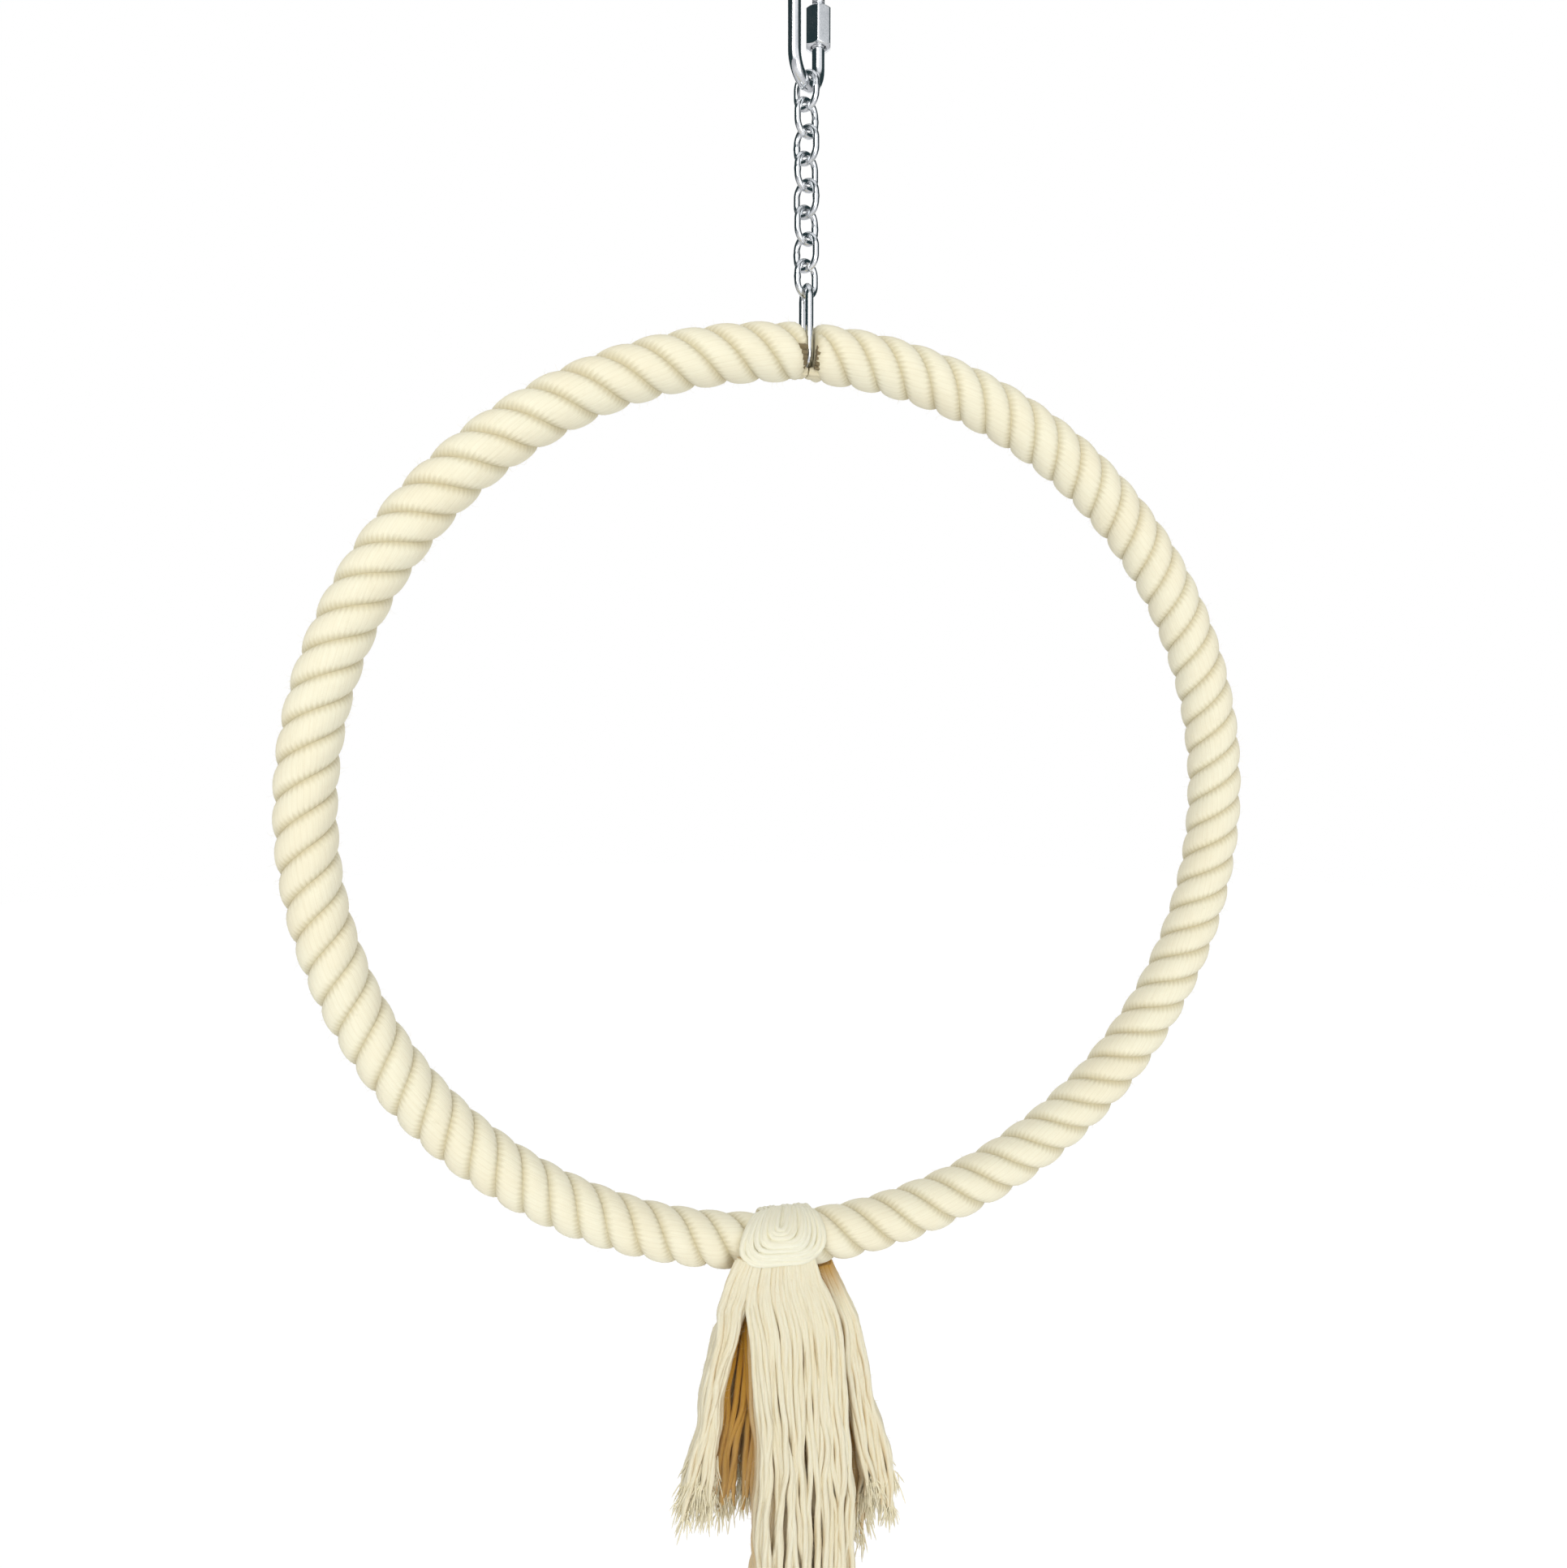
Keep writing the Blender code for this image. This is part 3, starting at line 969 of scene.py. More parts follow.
@dataclass
class QuickLink:
    """The screw-closed link at the top: a bent rod with a gap in one leg, and a long hexagonal nut."""

    finish: Material
    rod: float = 4.0 * MM
    half_width: float = 7.25 * MM
    top: float = 2.0 * MM
    bottom: float = -38.5 * MM
    turn: float = math.radians(44.0)
    sides: int = 36
    bend_steps: int = 40
    leg_steps: int = 12
    gap_top: float = -16.55 * MM
    gap_bottom: float = -21.55 * MM
    end_chamfer: float = 0.35 * MM
    thread_top: float = -6.5 * MM
    thread_bottom: float = -25.4 * MM
    thread_pitch: float = 0.7 * MM
    thread_depth: float = 0.28 * MM
    thread_steps: int = 7
    nut_bottom: float = -24.8 * MM
    nut_length: float = 11.5 * MM
    nut_flats: float = 7.5 * MM
    nut_bore: float = 4.5 * MM
    nut_lip: float = 0.35 * MM
    nut_sides: int = 96
    nut_corner_share: float = 0.98
    nut_face_share: float = 0.47
    nut_cone_slope: float = 1.4
    nut_cone_drops: tuple[float, ...] = (0.0, 0.12, 0.24, 0.36, 0.5, 0.7, 0.9)

    def build(self) -> None:
        """Make the rod and the nut, and set them on their bodies."""
        body = add_piece("quick_link_rod", self.rod_mesh())
        nut = add_piece("quick_link_sleeve", self.nut_mesh())
        for piece in (body, nut):
            piece.data.materials.append(self.finish)
        settle(body, "quick_link", Slot.BRIGHT_METAL, "quick_link_body")
        settle(nut, "lock_nut", Slot.BRIGHT_METAL, "quick_link_nut")

    def in_row(self, points: np.ndarray) -> np.ndarray:
        """Turn points of the link's own plane into the row frame.

        Args:
            points: Points with the link's width along X.

        Returns:
            The turned points.
        """
        cosine, sine = math.cos(self.turn), math.sin(self.turn)
        spin = np.array(((cosine, -sine, 0.0), (sine, cosine, 0.0), (0.0, 0.0, 1.0)))
        return points @ spin.T

    def leg(self, x: float, heights: np.ndarray | list[float], way: float) -> list[WayPoint]:
        """Follow a straight leg, with the X and Z of its points and of the way at each."""
        return [(x, height, 0.0, way) for height in heights]

    def bend(self, middle: float, side: float) -> list[WayPoint]:
        """Follow a bend from the right leg to the left, in the same way.

        Args:
            middle: The height of the bend's centre.
            side: -1 for the lower bend, 1 for the upper one, where the way is turned round.

        Returns:
            The X and Z of its points and of the way at each.
        """
        turns = [(math.cos(angle), math.sin(angle)) for angle in np.linspace(0.0, math.pi, self.bend_steps)]
        half = self.half_width
        return [(half * cosine, middle + side * half * sine, side * sine, -cosine) for cosine, sine in turns]

    def centreline(self) -> list[WayPoint]:
        """Follow the rod from the lower side of the gap round to the upper side.

        Returns:
            The X and Z of its points and of the way at each, in the link's own plane.
        """
        upper, lower = self.top - self.half_width, self.bottom + self.half_width
        fine = self.thread_pitch / self.thread_steps
        rows = self.leg(self.half_width, np.arange(self.gap_bottom, lower, -fine), -1.0)
        rows += self.bend(lower, -1.0)
        rows += self.leg(-self.half_width, np.linspace(lower, upper, self.leg_steps)[1:-1], 1.0)
        rows += self.bend(upper, 1.0)[::-1]
        rows += self.leg(self.half_width, np.arange(upper - fine, self.gap_top, -fine), -1.0)
        return rows + self.leg(self.half_width, [self.gap_top], -1.0)

    def rod_mesh(self) -> Mesh:
        """Sweep the rod, with a cut thread each side of the gap and chamfered ends.

        Returns:
            The rod's mesh.
        """
        leg_share = 0.999
        angles = np.linspace(0.0, math.tau, self.sides, endpoint=False)
        inner = self.rod / 2 - self.thread_depth
        rings = []
        for x, z, way_x, way_z in self.centreline():
            radius = np.full(self.sides, self.rod / 2)
            if x > leg_share * self.half_width:
                if self.thread_bottom < z < self.thread_top:
                    phase = (z / self.thread_pitch + angles / math.tau) % 1.0
                    radius = inner + self.thread_depth * (1.0 - np.abs(2.0 * phase - 1.0))
                near_gap = min(abs(z - self.gap_top), abs(z - self.gap_bottom))
                radius = np.minimum(radius, inner - self.end_chamfer + near_gap)
            out = radius * np.cos(angles)
            rings.append(np.stack((x - out * way_z, radius * np.sin(angles), z + out * way_x), axis=1))
        return skin_rings("quick_link_rod", self.in_row(np.array(rings)), closed=False)

    def nut_mesh(self) -> Mesh:
        """Make the nut: six flats whose ends are turned down to a cone, and a bore through it.

        Returns:
            The nut's mesh.
        """
        angles = np.linspace(0.0, math.tau, self.nut_sides, endpoint=False)
        sixth = math.pi / 3
        hexagon = self.nut_flats / 2 / np.cos((angles + sixth / 2) % sixth - sixth / 2)
        hexagon = np.minimum(hexagon, self.nut_corner_share * self.nut_flats / 2 / math.cos(sixth / 2))
        face, bore = self.nut_face_share * self.nut_flats, self.nut_bore / 2
        bottom, top = self.nut_bottom, self.nut_bottom + self.nut_length
        drops = np.array(self.nut_cone_drops) * MM
        outer = [(drop, np.minimum(hexagon, face + drop * self.nut_cone_slope)) for drop in drops]
        profile = [(bottom, bore + self.nut_lip)]
        profile += [(bottom + drop, radius) for drop, radius in outer]
        profile += [(top - drop, radius) for drop, radius in outer[::-1]]
        profile += [(top, bore + self.nut_lip), (top - self.nut_lip, bore), (bottom + self.nut_lip, bore)]
        rings = np.zeros((len(profile), self.nut_sides, 3))
        for ring, (height, radius) in zip(rings, profile):
            ring[:, 0] = self.half_width + radius * np.cos(angles)
            ring[:, 1] = radius * np.sin(angles)
            ring[:, 2] = height
        return skin_rings("quick_link_sleeve", self.in_row(rings), closed=True)


@dataclass
class Chain:
    """Eight welded links of round wire, and the long hanger loop that takes the hoop."""

    finish: Material
    loops: NodeShape
    count: int = 8
    wire: float = 2.0 * MM
    width: float = 10.0 * MM
    first_top: float = -35.2 * MM
    bar_spacing: float = 10.3 * MM
    pitch: float = 8.0 * MM
    first_turn: float = math.radians(-58.0)
    next_turn: float = math.radians(90.0)
    hanger_wire: float = 2.5 * MM
    hanger_inner_width: float = 5.0 * MM
    hanger_top: float = -98.95 * MM
    hanger_bottom: float = -122.35 * MM
    hanger_turn: float = math.radians(90.0)
    weld: float = 0.13

    def build(self) -> None:
        """Make the links and the hanger loop, and set them on their bodies."""
        half = (self.width - self.wire) / 2
        for number in range(self.count):
            top = self.first_top - number * self.pitch
            turn = self.first_turn + number * self.next_turn
            sizes = self.loop(half, top, top - self.bar_spacing, self.wire, turn)
            link = self.loops.run(f"chain_wire_{number + 1}", sizes, self.finish)
            settle(link, f"chain_{number + 1}", Slot.BRIGHT_METAL, f"chain_link_{number + 1}")
        half = (self.hanger_inner_width + self.hanger_wire) / 2
        sizes = self.loop(half, self.hanger_top, self.hanger_bottom, self.hanger_wire, self.hanger_turn)
        hanger = self.loops.run("hanger_wire", sizes, self.finish)
        settle(hanger, "hanger", Slot.BRIGHT_METAL, "hanger_loop")

    def loop(self, half: float, top: float, bottom: float, wire: float, turn: float) -> WireLoop:
        """Size one loop of wire.

        Args:
            half: Half the distance between the wire's centres.
            top: Height of the upper wire's centre.
            bottom: Height of the lower wire's centre.
            wire: The wire's thickness.
            turn: The loop's turn about the vertical.

        Returns:
            The loop's sizes.
        """
        straight = top - bottom - 2 * half
        return WireLoop(half, straight, wire / 2, (top + bottom) / 2, turn, weld=self.weld)


@dataclass(frozen=True)
class RingSize:
    """The oval that the middle of the rope follows."""

    half_width: float = 151.5 * MM
    half_height: float = 144.0 * MM
    centre: float = -262.8 * MM

    def top(self) -> float:
        """Give the height of the oval's top."""
        return self.centre + self.half_height


@dataclass
class RopeRing:
    """The ring: a steel hoop inside a rope of three laid strands, whose cut ends meet at the top."""

    rope_finish: Material
    end_shade_finish: Material
    steel_finish: Material
    loops: NodeShape
    strands: NodeShape
    yarns: NodeShape
    fuzz: NodeShape
    ring: RingSize = RingSize()
    hoop_rod: float = 4.0 * MM
    hoop_steps: int = 240
    hoop_sides: int = 16
    strand_count: int = 3
    fibres: FuzzStyle = FuzzStyle(2.2 * MM, 0.035 * MM, 90000.0, seed=11)
    overrun: float = math.radians(1.7)
    end_gap: float = 3.6 * MM
    end_rings: int = 14
    end_round: float = 3.2 * MM
    end_pinch: float = 0.17
    end_yarn: YarnStyle = YarnStyle(
        radius=1.0 * MM,
        twist=300.0,
        plies=2,
        points=10,
        groove=0.15,
        taper=0.3,
        step=0.8 * MM,
        shading=0.3,
        outline=(0.0, 1.0, 1.0),
        seed=8,
    )
    end_layers: tuple[float, float] = (6.3 * MM, 6.9 * MM)
    end_spacing: float = 1.5 * MM
    end_length: float = 5.0 * MM
    end_points: int = 6
    end_spread: float = 0.15
    end_shade_depth: float = 0.5
    end_clearance: float = 0.3 * MM
    below_arc: tuple[float, float] = (136.0, 206.0)
    beside_arc: tuple[float, float] = (220.0, 272.0)

    def build(self) -> None:
        """Make the hoop, the strands and their loose fibres, and set them on the ring's body."""
        width, oval = self.ring.half_width, self.ring.half_height / self.ring.half_width
        detail = {"steps": self.hoop_steps, "sides": self.hoop_sides}
        sizes = WireLoop(width, 0.0, self.hoop_rod / 2, self.ring.centre, oval=oval, **detail)
        hoop = self.loops.run("hoop_rod", sizes, self.steel_finish)
        settle(hoop, "ring", Slot.CORE_STEEL, "core_hoop")
        for number in range(self.strand_count):
            strand = self.lay_strand(number)
            settle(strand, "ring", Slot.ROPE_COTTON, "rope")
            fibres = replace(self.fibres, seed=self.fibres.seed + number)
            loose = self.fuzz.run(f"rope_fibres_{number + 1}", fibres, self.rope_finish, strand.data.copy())
            settle(loose, "ring", Slot.ROPE_COTTON)
        below = self.tuck_ends("rope_end_yarns", self.below_arc, self.end_clearance, self.rope_finish)
        settle(below, "ring", Slot.ROPE_COTTON, "rope")
        gap = self.end_gap / 2 - self.end_clearance
        # Painted shade: the end yarns beside the hanger loop take the dark end finish.
        beside = self.tuck_ends("rope_end_hearts", self.beside_arc, gap, self.end_shade_finish)
        settle(beside, "ring", Slot.ROPE_COTTON, "rope")

    def tuck_ends(self, name: str, arc: tuple[float, float], gap: float, finish: Material) -> Piece:
        """Bring some of the rope's yarns together at its ends, below or beside the hanger loop.

        Args:
            name: The piece's name.
            arc: Where round the rope they lie, in degrees from its top, by way of the back.
            gap: Half the gap between their tips.
            finish: Their material.

        Returns:
            The yarn ends as one piece.
        """
        chance = np.random.default_rng(self.end_yarn.seed)
        top = self.ring.top()
        routes = []
        for side in (-1.0, 1.0):
            for radius in self.end_layers:
                for angle in np.arange(*np.radians(arc), self.end_spacing / radius):
                    tip = gap + either_way(chance, self.end_spread) * MM
                    depth, height = radius * math.sin(angle), top + radius * math.cos(angle)
                    reaches = np.linspace(self.end_length, tip, self.end_points)
                    points = [(side * away, depth, height - self.sag(away)) for away in reaches]
                    # Painted shade: the end yarns are marked half deep, for the hollow colour.
                    routes.append(Route(points, self.end_shade_depth))
        style = replace(self.end_yarn, heart=(0.0, 0.0, top))
        return self.yarns.run(name, style, finish, route_mesh(routes))

    def sag(self, away: float) -> float:
        """Give how far the ring has dropped at a distance from its top."""
        return away**2 / (2 * self.ring.half_width)

    def lay_strand(self, number: int) -> Piece:
        """Lay one strand round the hoop and cut its ends square.

        Args:
            number: Which of the strands it is, from 0.

        Returns:
            The strand.
        """
        end_angle = math.asin(self.end_gap / 2 / self.ring.half_width)
        start, end = end_angle - self.overrun, math.tau - end_angle + self.overrun
        phase = math.tau * number / self.strand_count
        sizes = Strand(**vars(self.ring), start=start, end=end, phase=phase)
        strand = self.strands.run(f"rope_strand_{number + 1}", sizes, self.rope_finish)
        bm = bmesh.new()
        bm.from_mesh(strand.data)
        bm.verts.ensure_lookup_table()
        reach = self.end_rings * sizes.points
        first, last = bm.verts[:reach], bm.verts[-reach:]
        self.cut_end(bm, first, end_angle, -1.0)
        self.cut_end(bm, last, -end_angle, 1.0)
        self.round_ends(bm)
        rims = [edge for edge in bm.edges if edge.is_boundary]
        bmesh.ops.holes_fill(bm, edges=rims, sides=0)
        bmesh.ops.recalc_face_normals(bm, faces=bm.faces)
        bm.to_mesh(strand.data)
        bm.free()
        return strand

    def round_ends(self, bm: bmesh.types.BMesh) -> None:
        """Draw a strand in towards the hoop at the rope's ends, where the hanger loop bites, and paint shade
        on it there.

        Args:
            bm: The strand.
        """
        depth = bm.verts.layers.float["inner"]
        for vert in bm.verts:
            away = abs(vert.co.x) - self.end_gap / 2
            if vert.co.z < self.ring.centre or away > self.end_round:
                continue
            share = (1.0 - max(away, 0.0) / self.end_round) ** 2
            middle = self.ring.top() - self.sag(vert.co.x)
            narrow = 1.0 - self.end_pinch * share
            vert.co.y *= narrow
            vert.co.z = middle + (vert.co.z - middle) * narrow
            # Painted shade: the drawn-in ends are marked deep, for the hollow colour.
            vert[depth] = max(vert[depth], share**2)

    def cut_end(
        self, bm: bmesh.types.BMesh, verts: list[bmesh.types.BMVert], angle: float, side: float
    ) -> None:
        """Cut a strand's overrun off at the rope's end.

        Args:
            bm: The strand.
            verts: The points near that end.
            angle: The end's angle from the top of the ring, clockwise.
            side: The sign of the clockwise direction that is cut off.
        """
        near = set(verts)
        faces = [face for face in bm.faces if all(vert in near for vert in face.verts)]
        edges = list({edge for face in faces for edge in face.edges})
        bmesh.ops.bisect_plane(
            bm,
            geom=verts + edges + faces,
            plane_co=(0.0, 0.0, self.ring.centre),
            plane_no=(side * math.cos(angle), 0.0, -side * math.sin(angle)),
            clear_outer=True,
        )


@dataclass(frozen=True)
class Neck:
    """How yarns leave the rope: how far from its centre, lifted how far, and how wide at the gather drops."""

    radius: float
    lift: float
    gathered: tuple[float, float, float]


@dataclass(frozen=True)
class Bunch:
    """One bunch of hanging yarn: its row, its spans across the skirt at top, middle and hem, and its hem;
    fade is how far its painted shade fades towards the hem, and tuck how far its roots are tucked under the
    rope, with painted shade there.
    """

    side: str
    row: Row
    spans: tuple[tuple[float, float], tuple[float, float], tuple[float, float]]
    hem: float
    across: int
    deep: int
    seed: int
    fade: float = 1.0
    tuck: float = 0.0


NECKS = {
    Row.FRONT: Neck(12.2 * MM, math.radians(14), (0.67, 0.84, 1.0)),
    Row.BACK: Neck(10.15 * MM, math.radians(8), (0.52, 0.76, 1.0)),
}
# How a bunch leaves the rope where it is tucked in under the hitch; there it is so much wider than its row.
TUCKED = Neck(10.2 * MM, math.radians(104), (0.12, 0.06, 0.0))
BUNCHES = (
    Bunch("left", Row.FRONT, ((-0.06, 0.2), (-0.05, 0.085), (-0.06, 0.145)), 86.0 * MM, 7, 6, 21),
    Bunch("middle_left", Row.FRONT, ((0.14, 0.56), (0.295, 0.56), (0.31, 0.55)), 136.0 * MM, 15, 5, 22),
    Bunch("middle_right", Row.FRONT, ((0.54, 0.88), (0.55, 0.79), (0.55, 0.77)), 139.0 * MM, 15, 5, 23),
    Bunch("right", Row.FRONT, ((0.84, 1.02), (0.86, 1.02), (0.84, 1.02)), 97.0 * MM, 8, 5, 24, tuck=0.85),
    Bunch("back_left", Row.BACK, ((0.14, 0.5), (0.1, 0.5), (0.08, 0.5)), 94.0 * MM, 16, 4, 25, fade=0.35),
    Bunch("back_right", Row.BACK, ((0.5, 0.9), (0.5, 0.92), (0.5, 0.94)), 113.0 * MM, 16, 4, 26, fade=0.9),
)
BUNCH_YARN = YarnStyle(
    radius=1.08 * MM,
    twist=130.0,
    plies=3,
    points=12,
    groove=0.16,
    taper=0.45,
    wander=6.5 * MM,
    parting=0.0018,
    shading=0.4,
    outline=(1.0, 3.5, 0.0),
)
HITCH_YARN = replace(BUNCH_YARN, wander=0.0, shading=0.3, outline=(0.0, 1.0, 1.0))


@dataclass
class Tassel:
    """A hank of yarn hitched over the rope: its wrap, its bight and its hanging bunches."""

    finish: Material
    hitch_finish: Material
    fray_finish: Material
    yarns: NodeShape
    fuzz: NodeShape
    ring: RingSize = RingSize()
    offset: float = math.radians(2.4)
    wrap_yarn: YarnStyle = replace(HITCH_YARN, radius=HITCH_YARN.radius * 0.8, seed=31)
    wrap_route_seed: int = 5
    wrap_radius: float = 9.95 * MM
    wrap_yarns: int = 19
    wrap_width: float = 16.4 * MM
    wrap_start: float = math.radians(-68)
    wrap_turn: float = math.radians(128)
    wrap_points: int = 36
    wrap_spread: float = 0.9
    wrap_lift: float = 0.4
    wrap_tuck: float = 1.6 * MM
    wrap_tuck_share: float = 0.12
    bight_yarn: YarnStyle = replace(HITCH_YARN, radius=HITCH_YARN.radius * 1.1, seed=32)
    bight_route_seed: int = 6
    bight_layers: tuple[tuple[float, float], ...] = ((10.2 * MM, 2.3 * MM), (10.7 * MM, 2.9 * MM))
    bight_layer_step: float = 0.35
    bight_yarns: int = 9
    bight_points: int = 60
    bight_spread: float = 0.25
    bight_sway: float = 0.5
    bight_half: float = 17.3 * MM
    bight_shift: float = -5.2 * MM
    bight_end: float = math.radians(-108.0)
    bight_top: float = math.radians(-42.0)
    bight_bottom: float = math.radians(6.0)
    bight_square: float = 0.45
    bight_narrow: float = 0.42
    bight_sink: float = 1.4 * MM
    bight_sink_start: float = 7 * MM
    bight_sink_run: float = 5 * MM
    bight_tuck: float = 2.2 * MM
    bight_tuck_share: float = 0.3
    stations: tuple[tuple[float, float, float], ...] = (
        (11.6 * MM, 20.5 * MM, 9.0 * MM),
        (30.0 * MM, 24.0 * MM, 13.0 * MM),
        (60.0 * MM, 29.0 * MM, 15.5 * MM),
        (86.0 * MM, 36.0 * MM, 18.0 * MM),
    )
    lock_yarns: int = 3
    lock_pull: float = 0.2
    column_spread: float = 0.35
    layer_spread: float = 0.3
    hem_spread: float = 16.0
    outer_hem_share: float = 0.45
    back_reach: float = 0.5
    shade_band: tuple[float, float] = (0.45, 0.9)
    root_angle: float = math.radians(80)
    root_power: float = 0.8
    yarn_points: int = 26
    gather_drops: tuple[float, float, float] = (0.0, 8 * MM, 17 * MM)
    sway: tuple[float, float] = (0.4, 1.3)
    sway_length: float = 17 * MM
    hang_start: float = 6 * MM
    hang_run: float = 24 * MM
    edge_thinning: float = 0.45
    tip_fibre: YarnStyle = YarnStyle(0.22 * MM, taper=0.7, wander=1.6 * MM, parting=7.3)
    tip_fibres: int = 15
    tip_way: int = 3
    tip_root: tuple[float, float] = (0.5, 3.5)
    tip_scatter: float = 0.5 * MM
    tip_spread: float = 0.27
    tip_reach: tuple[float, float] = (2.5, 7.0)
    tip_droop: float = 0.25
    tip_points: int = 5
    tip_shade_depth: float = 0.3
    tip_seed_shift: int = 100
    lint: FuzzStyle = FuzzStyle(2.6 * MM, 0.04 * MM, 70000.0)

    def build(self) -> None:
        """Make the wrap, the bight and the bunches, and set them on the tassel's body."""
        # The wrap and the bight take the paler hitch finish, which paints light.
        wrap = self.spin("hitch_wrap", self.wrap_yarn, self.wrap_routes(), self.hitch_finish)
        settle(wrap, "tassel", Slot.TASSEL_YARN, "tassel_wrap")
        bight = self.spin("hitch_bight", self.bight_yarn, self.bight_routes(), self.hitch_finish)
        settle(bight, "tassel", Slot.TASSEL_YARN, "tassel_bight")
        for bunch in BUNCHES:
            name, routes = f"yarns_{bunch.side}", self.bunch_routes(bunch)
            yarn, fibre, lint = (
                replace(style, seed=bunch.seed) for style in (BUNCH_YARN, self.tip_fibre, self.lint)
            )
            hanging = self.spin(name, yarn, routes, self.finish)
            settle(hanging, "tassel", Slot.TASSEL_YARN, f"tassel_bunch_{bunch.side}")
            # The frayed tips take the paler fray finish, which paints light.
            frayed = self.spin(name + "_fray", fibre, self.tip_routes(bunch, routes), self.fray_finish)
            settle(frayed, "tassel", Slot.TASSEL_YARN)
            loose = self.fuzz.run(name + "_fuzz", lint, self.finish, hanging.data.copy())
            settle(loose, "tassel", Slot.TASSEL_YARN)

    def spin(self, name: str, style: YarnStyle, routes: list[Route], finish: Material) -> Piece:
        """Spin yarns along routes, with painted shade on their flanks that face the rope's centre.

        Args:
            name: The piece's name.
            style: How the yarns are spun.
            routes: Their routes.
            finish: Their material.

        Returns:
            The yarns as one piece.
        """
        sizes = replace(style, heart=self.at(0.0, 0.0, 0.0))
        return self.yarns.run(name, sizes, finish, route_mesh(routes))

    def at(self, across: float, depth: float, drop: float) -> Point:
        """Give a place on the tassel in the row frame.

        Args:
            across: Distance right of the tassel's middle.
            depth: Distance behind the rope's centre.
            drop: Distance below the rope's centre.

        Returns:
            The point.
        """
        pivot_x = -self.ring.half_width * math.sin(self.offset)
        pivot_z = self.ring.centre - self.ring.half_height * math.cos(self.offset)
        return (pivot_x + across, depth, pivot_z - drop)

    def on_rope(self, along: float, reach: float, angle: float) -> Point:
        """Give a place round the rope, along its own slope at the tassel.

        Args:
            along: Distance along the rope.
            reach: Distance from its centre.
            angle: The angle below its front, towards its lower side.

        Returns:
            The point.
        """
        depth, drop = -reach * math.cos(angle), reach * math.sin(angle)
        slope = math.atan(self.ring.half_height / self.ring.half_width * math.tan(self.offset))
        cosine, sine = math.cos(slope), math.sin(slope)
        return self.at(along * cosine - drop * sine, depth, drop * cosine + along * sine)

    def wrap_routes(self) -> list[Route]:
        """Lay the wrap's yarns side by side over the rope.

        Returns:
            Their routes, from the top of the rope down behind it, with both ends tucked in.
        """
        chance = np.random.default_rng(self.wrap_route_seed)
        routes = []
        for number in range(self.wrap_yarns):
            middle = self.wrap_width * ((number + 0.5) / self.wrap_yarns - 0.5)
            lean, lift = chance.uniform(-self.wrap_spread, self.wrap_spread, 2) * MM
            route = []
            for share in np.linspace(0.0, 1.0, self.wrap_points):
                angle = self.wrap_start - share * self.wrap_turn
                tucked = self.wrap_tuck * (1.0 - min(min(share, 1.0 - share) / self.wrap_tuck_share, 1.0))
                reach = self.wrap_radius + self.wrap_lift * lift * math.cos(2 * angle) - tucked
                route.append(self.on_rope(middle + lean * math.sin(angle), reach, angle))
            routes.append(Route(route))
        return routes

    def bight_routes(self) -> list[Route]:
        """Lay the bight's yarns down the front of the rope and up again, one inside the next.

        Returns:
            Their routes, from left to right, with both ends tucked in behind the top of the rope.
        """
        chance = np.random.default_rng(self.bight_route_seed)
        routes = []
        for layer, (base, swell) in enumerate(self.bight_layers):
            for number in range(self.bight_yarns):
                place = number + 0.5 + self.bight_layer_step * layer
                size = (place + either_way(chance, self.bight_spread)) / self.bight_yarns
                lowest = self.bight_top + size * (self.bight_bottom - self.bight_top)
                sway = self.bight_shift + either_way(chance, self.bight_sway) * MM
                route = []
                for turn in np.linspace(0.0, math.pi, self.bight_points):
                    side, low = -math.cos(turn), math.sin(turn) ** self.bight_square
                    angle = self.bight_end + (lowest - self.bight_end) * low
                    along = self.bight_half * size * np.sign(side) * abs(side) ** self.bight_square
                    along = along * (self.bight_narrow + (1.0 - self.bight_narrow) * low)
                    sunk = np.clip((abs(along) - self.bight_sink_start) / self.bight_sink_run, 0.0, 1.0)
                    tucked = self.bight_tuck * (1.0 - min(low / self.bight_tuck_share, 1.0))
                    reach = base + swell * low**2 - self.bight_sink * sunk - tucked
                    route.append(self.on_rope(along + sway * low, reach, angle))
                routes.append(Route(route))
        return routes

    def bunch_routes(self, bunch: Bunch) -> list[Route]:
        """Lay the yarns of one bunch from the hitch down to its hem.

        Args:
            bunch: The bunch.

        Returns:
            The yarns' routes.
        """
        chance = np.random.default_rng(bunch.seed)
        left, right = bunch.spans[1]
        reach = self.back_reach if bunch.row is Row.BACK else 1.0
        routes = []
        for column in range(bunch.across):
            for layer in range(bunch.deep):
                share = (column + 0.5 + either_way(chance, self.column_spread)) / bunch.across
                deep = (layer + 0.5 + either_way(chance, self.layer_spread)) / bunch.deep
                shorter = chance.uniform(0.0, self.hem_spread) * MM * (1.0 if layer else self.outer_hem_share)
                points = self.yarn_route(bunch, share, deep, bunch.hem - shorter, chance)
                aside = (2 * (left + share * (right - left)) - 1) * reach
                # Painted shade: yarns near the skirt's middle plane and tucked roots take the hollow colour,
                # fading towards the hem.
                inner = float(np.interp(math.hypot(aside, deep), self.shade_band, (1.0, 0.0)))
                routes.append(Route(points, inner, bunch.fade, bunch.tuck))
        return routes

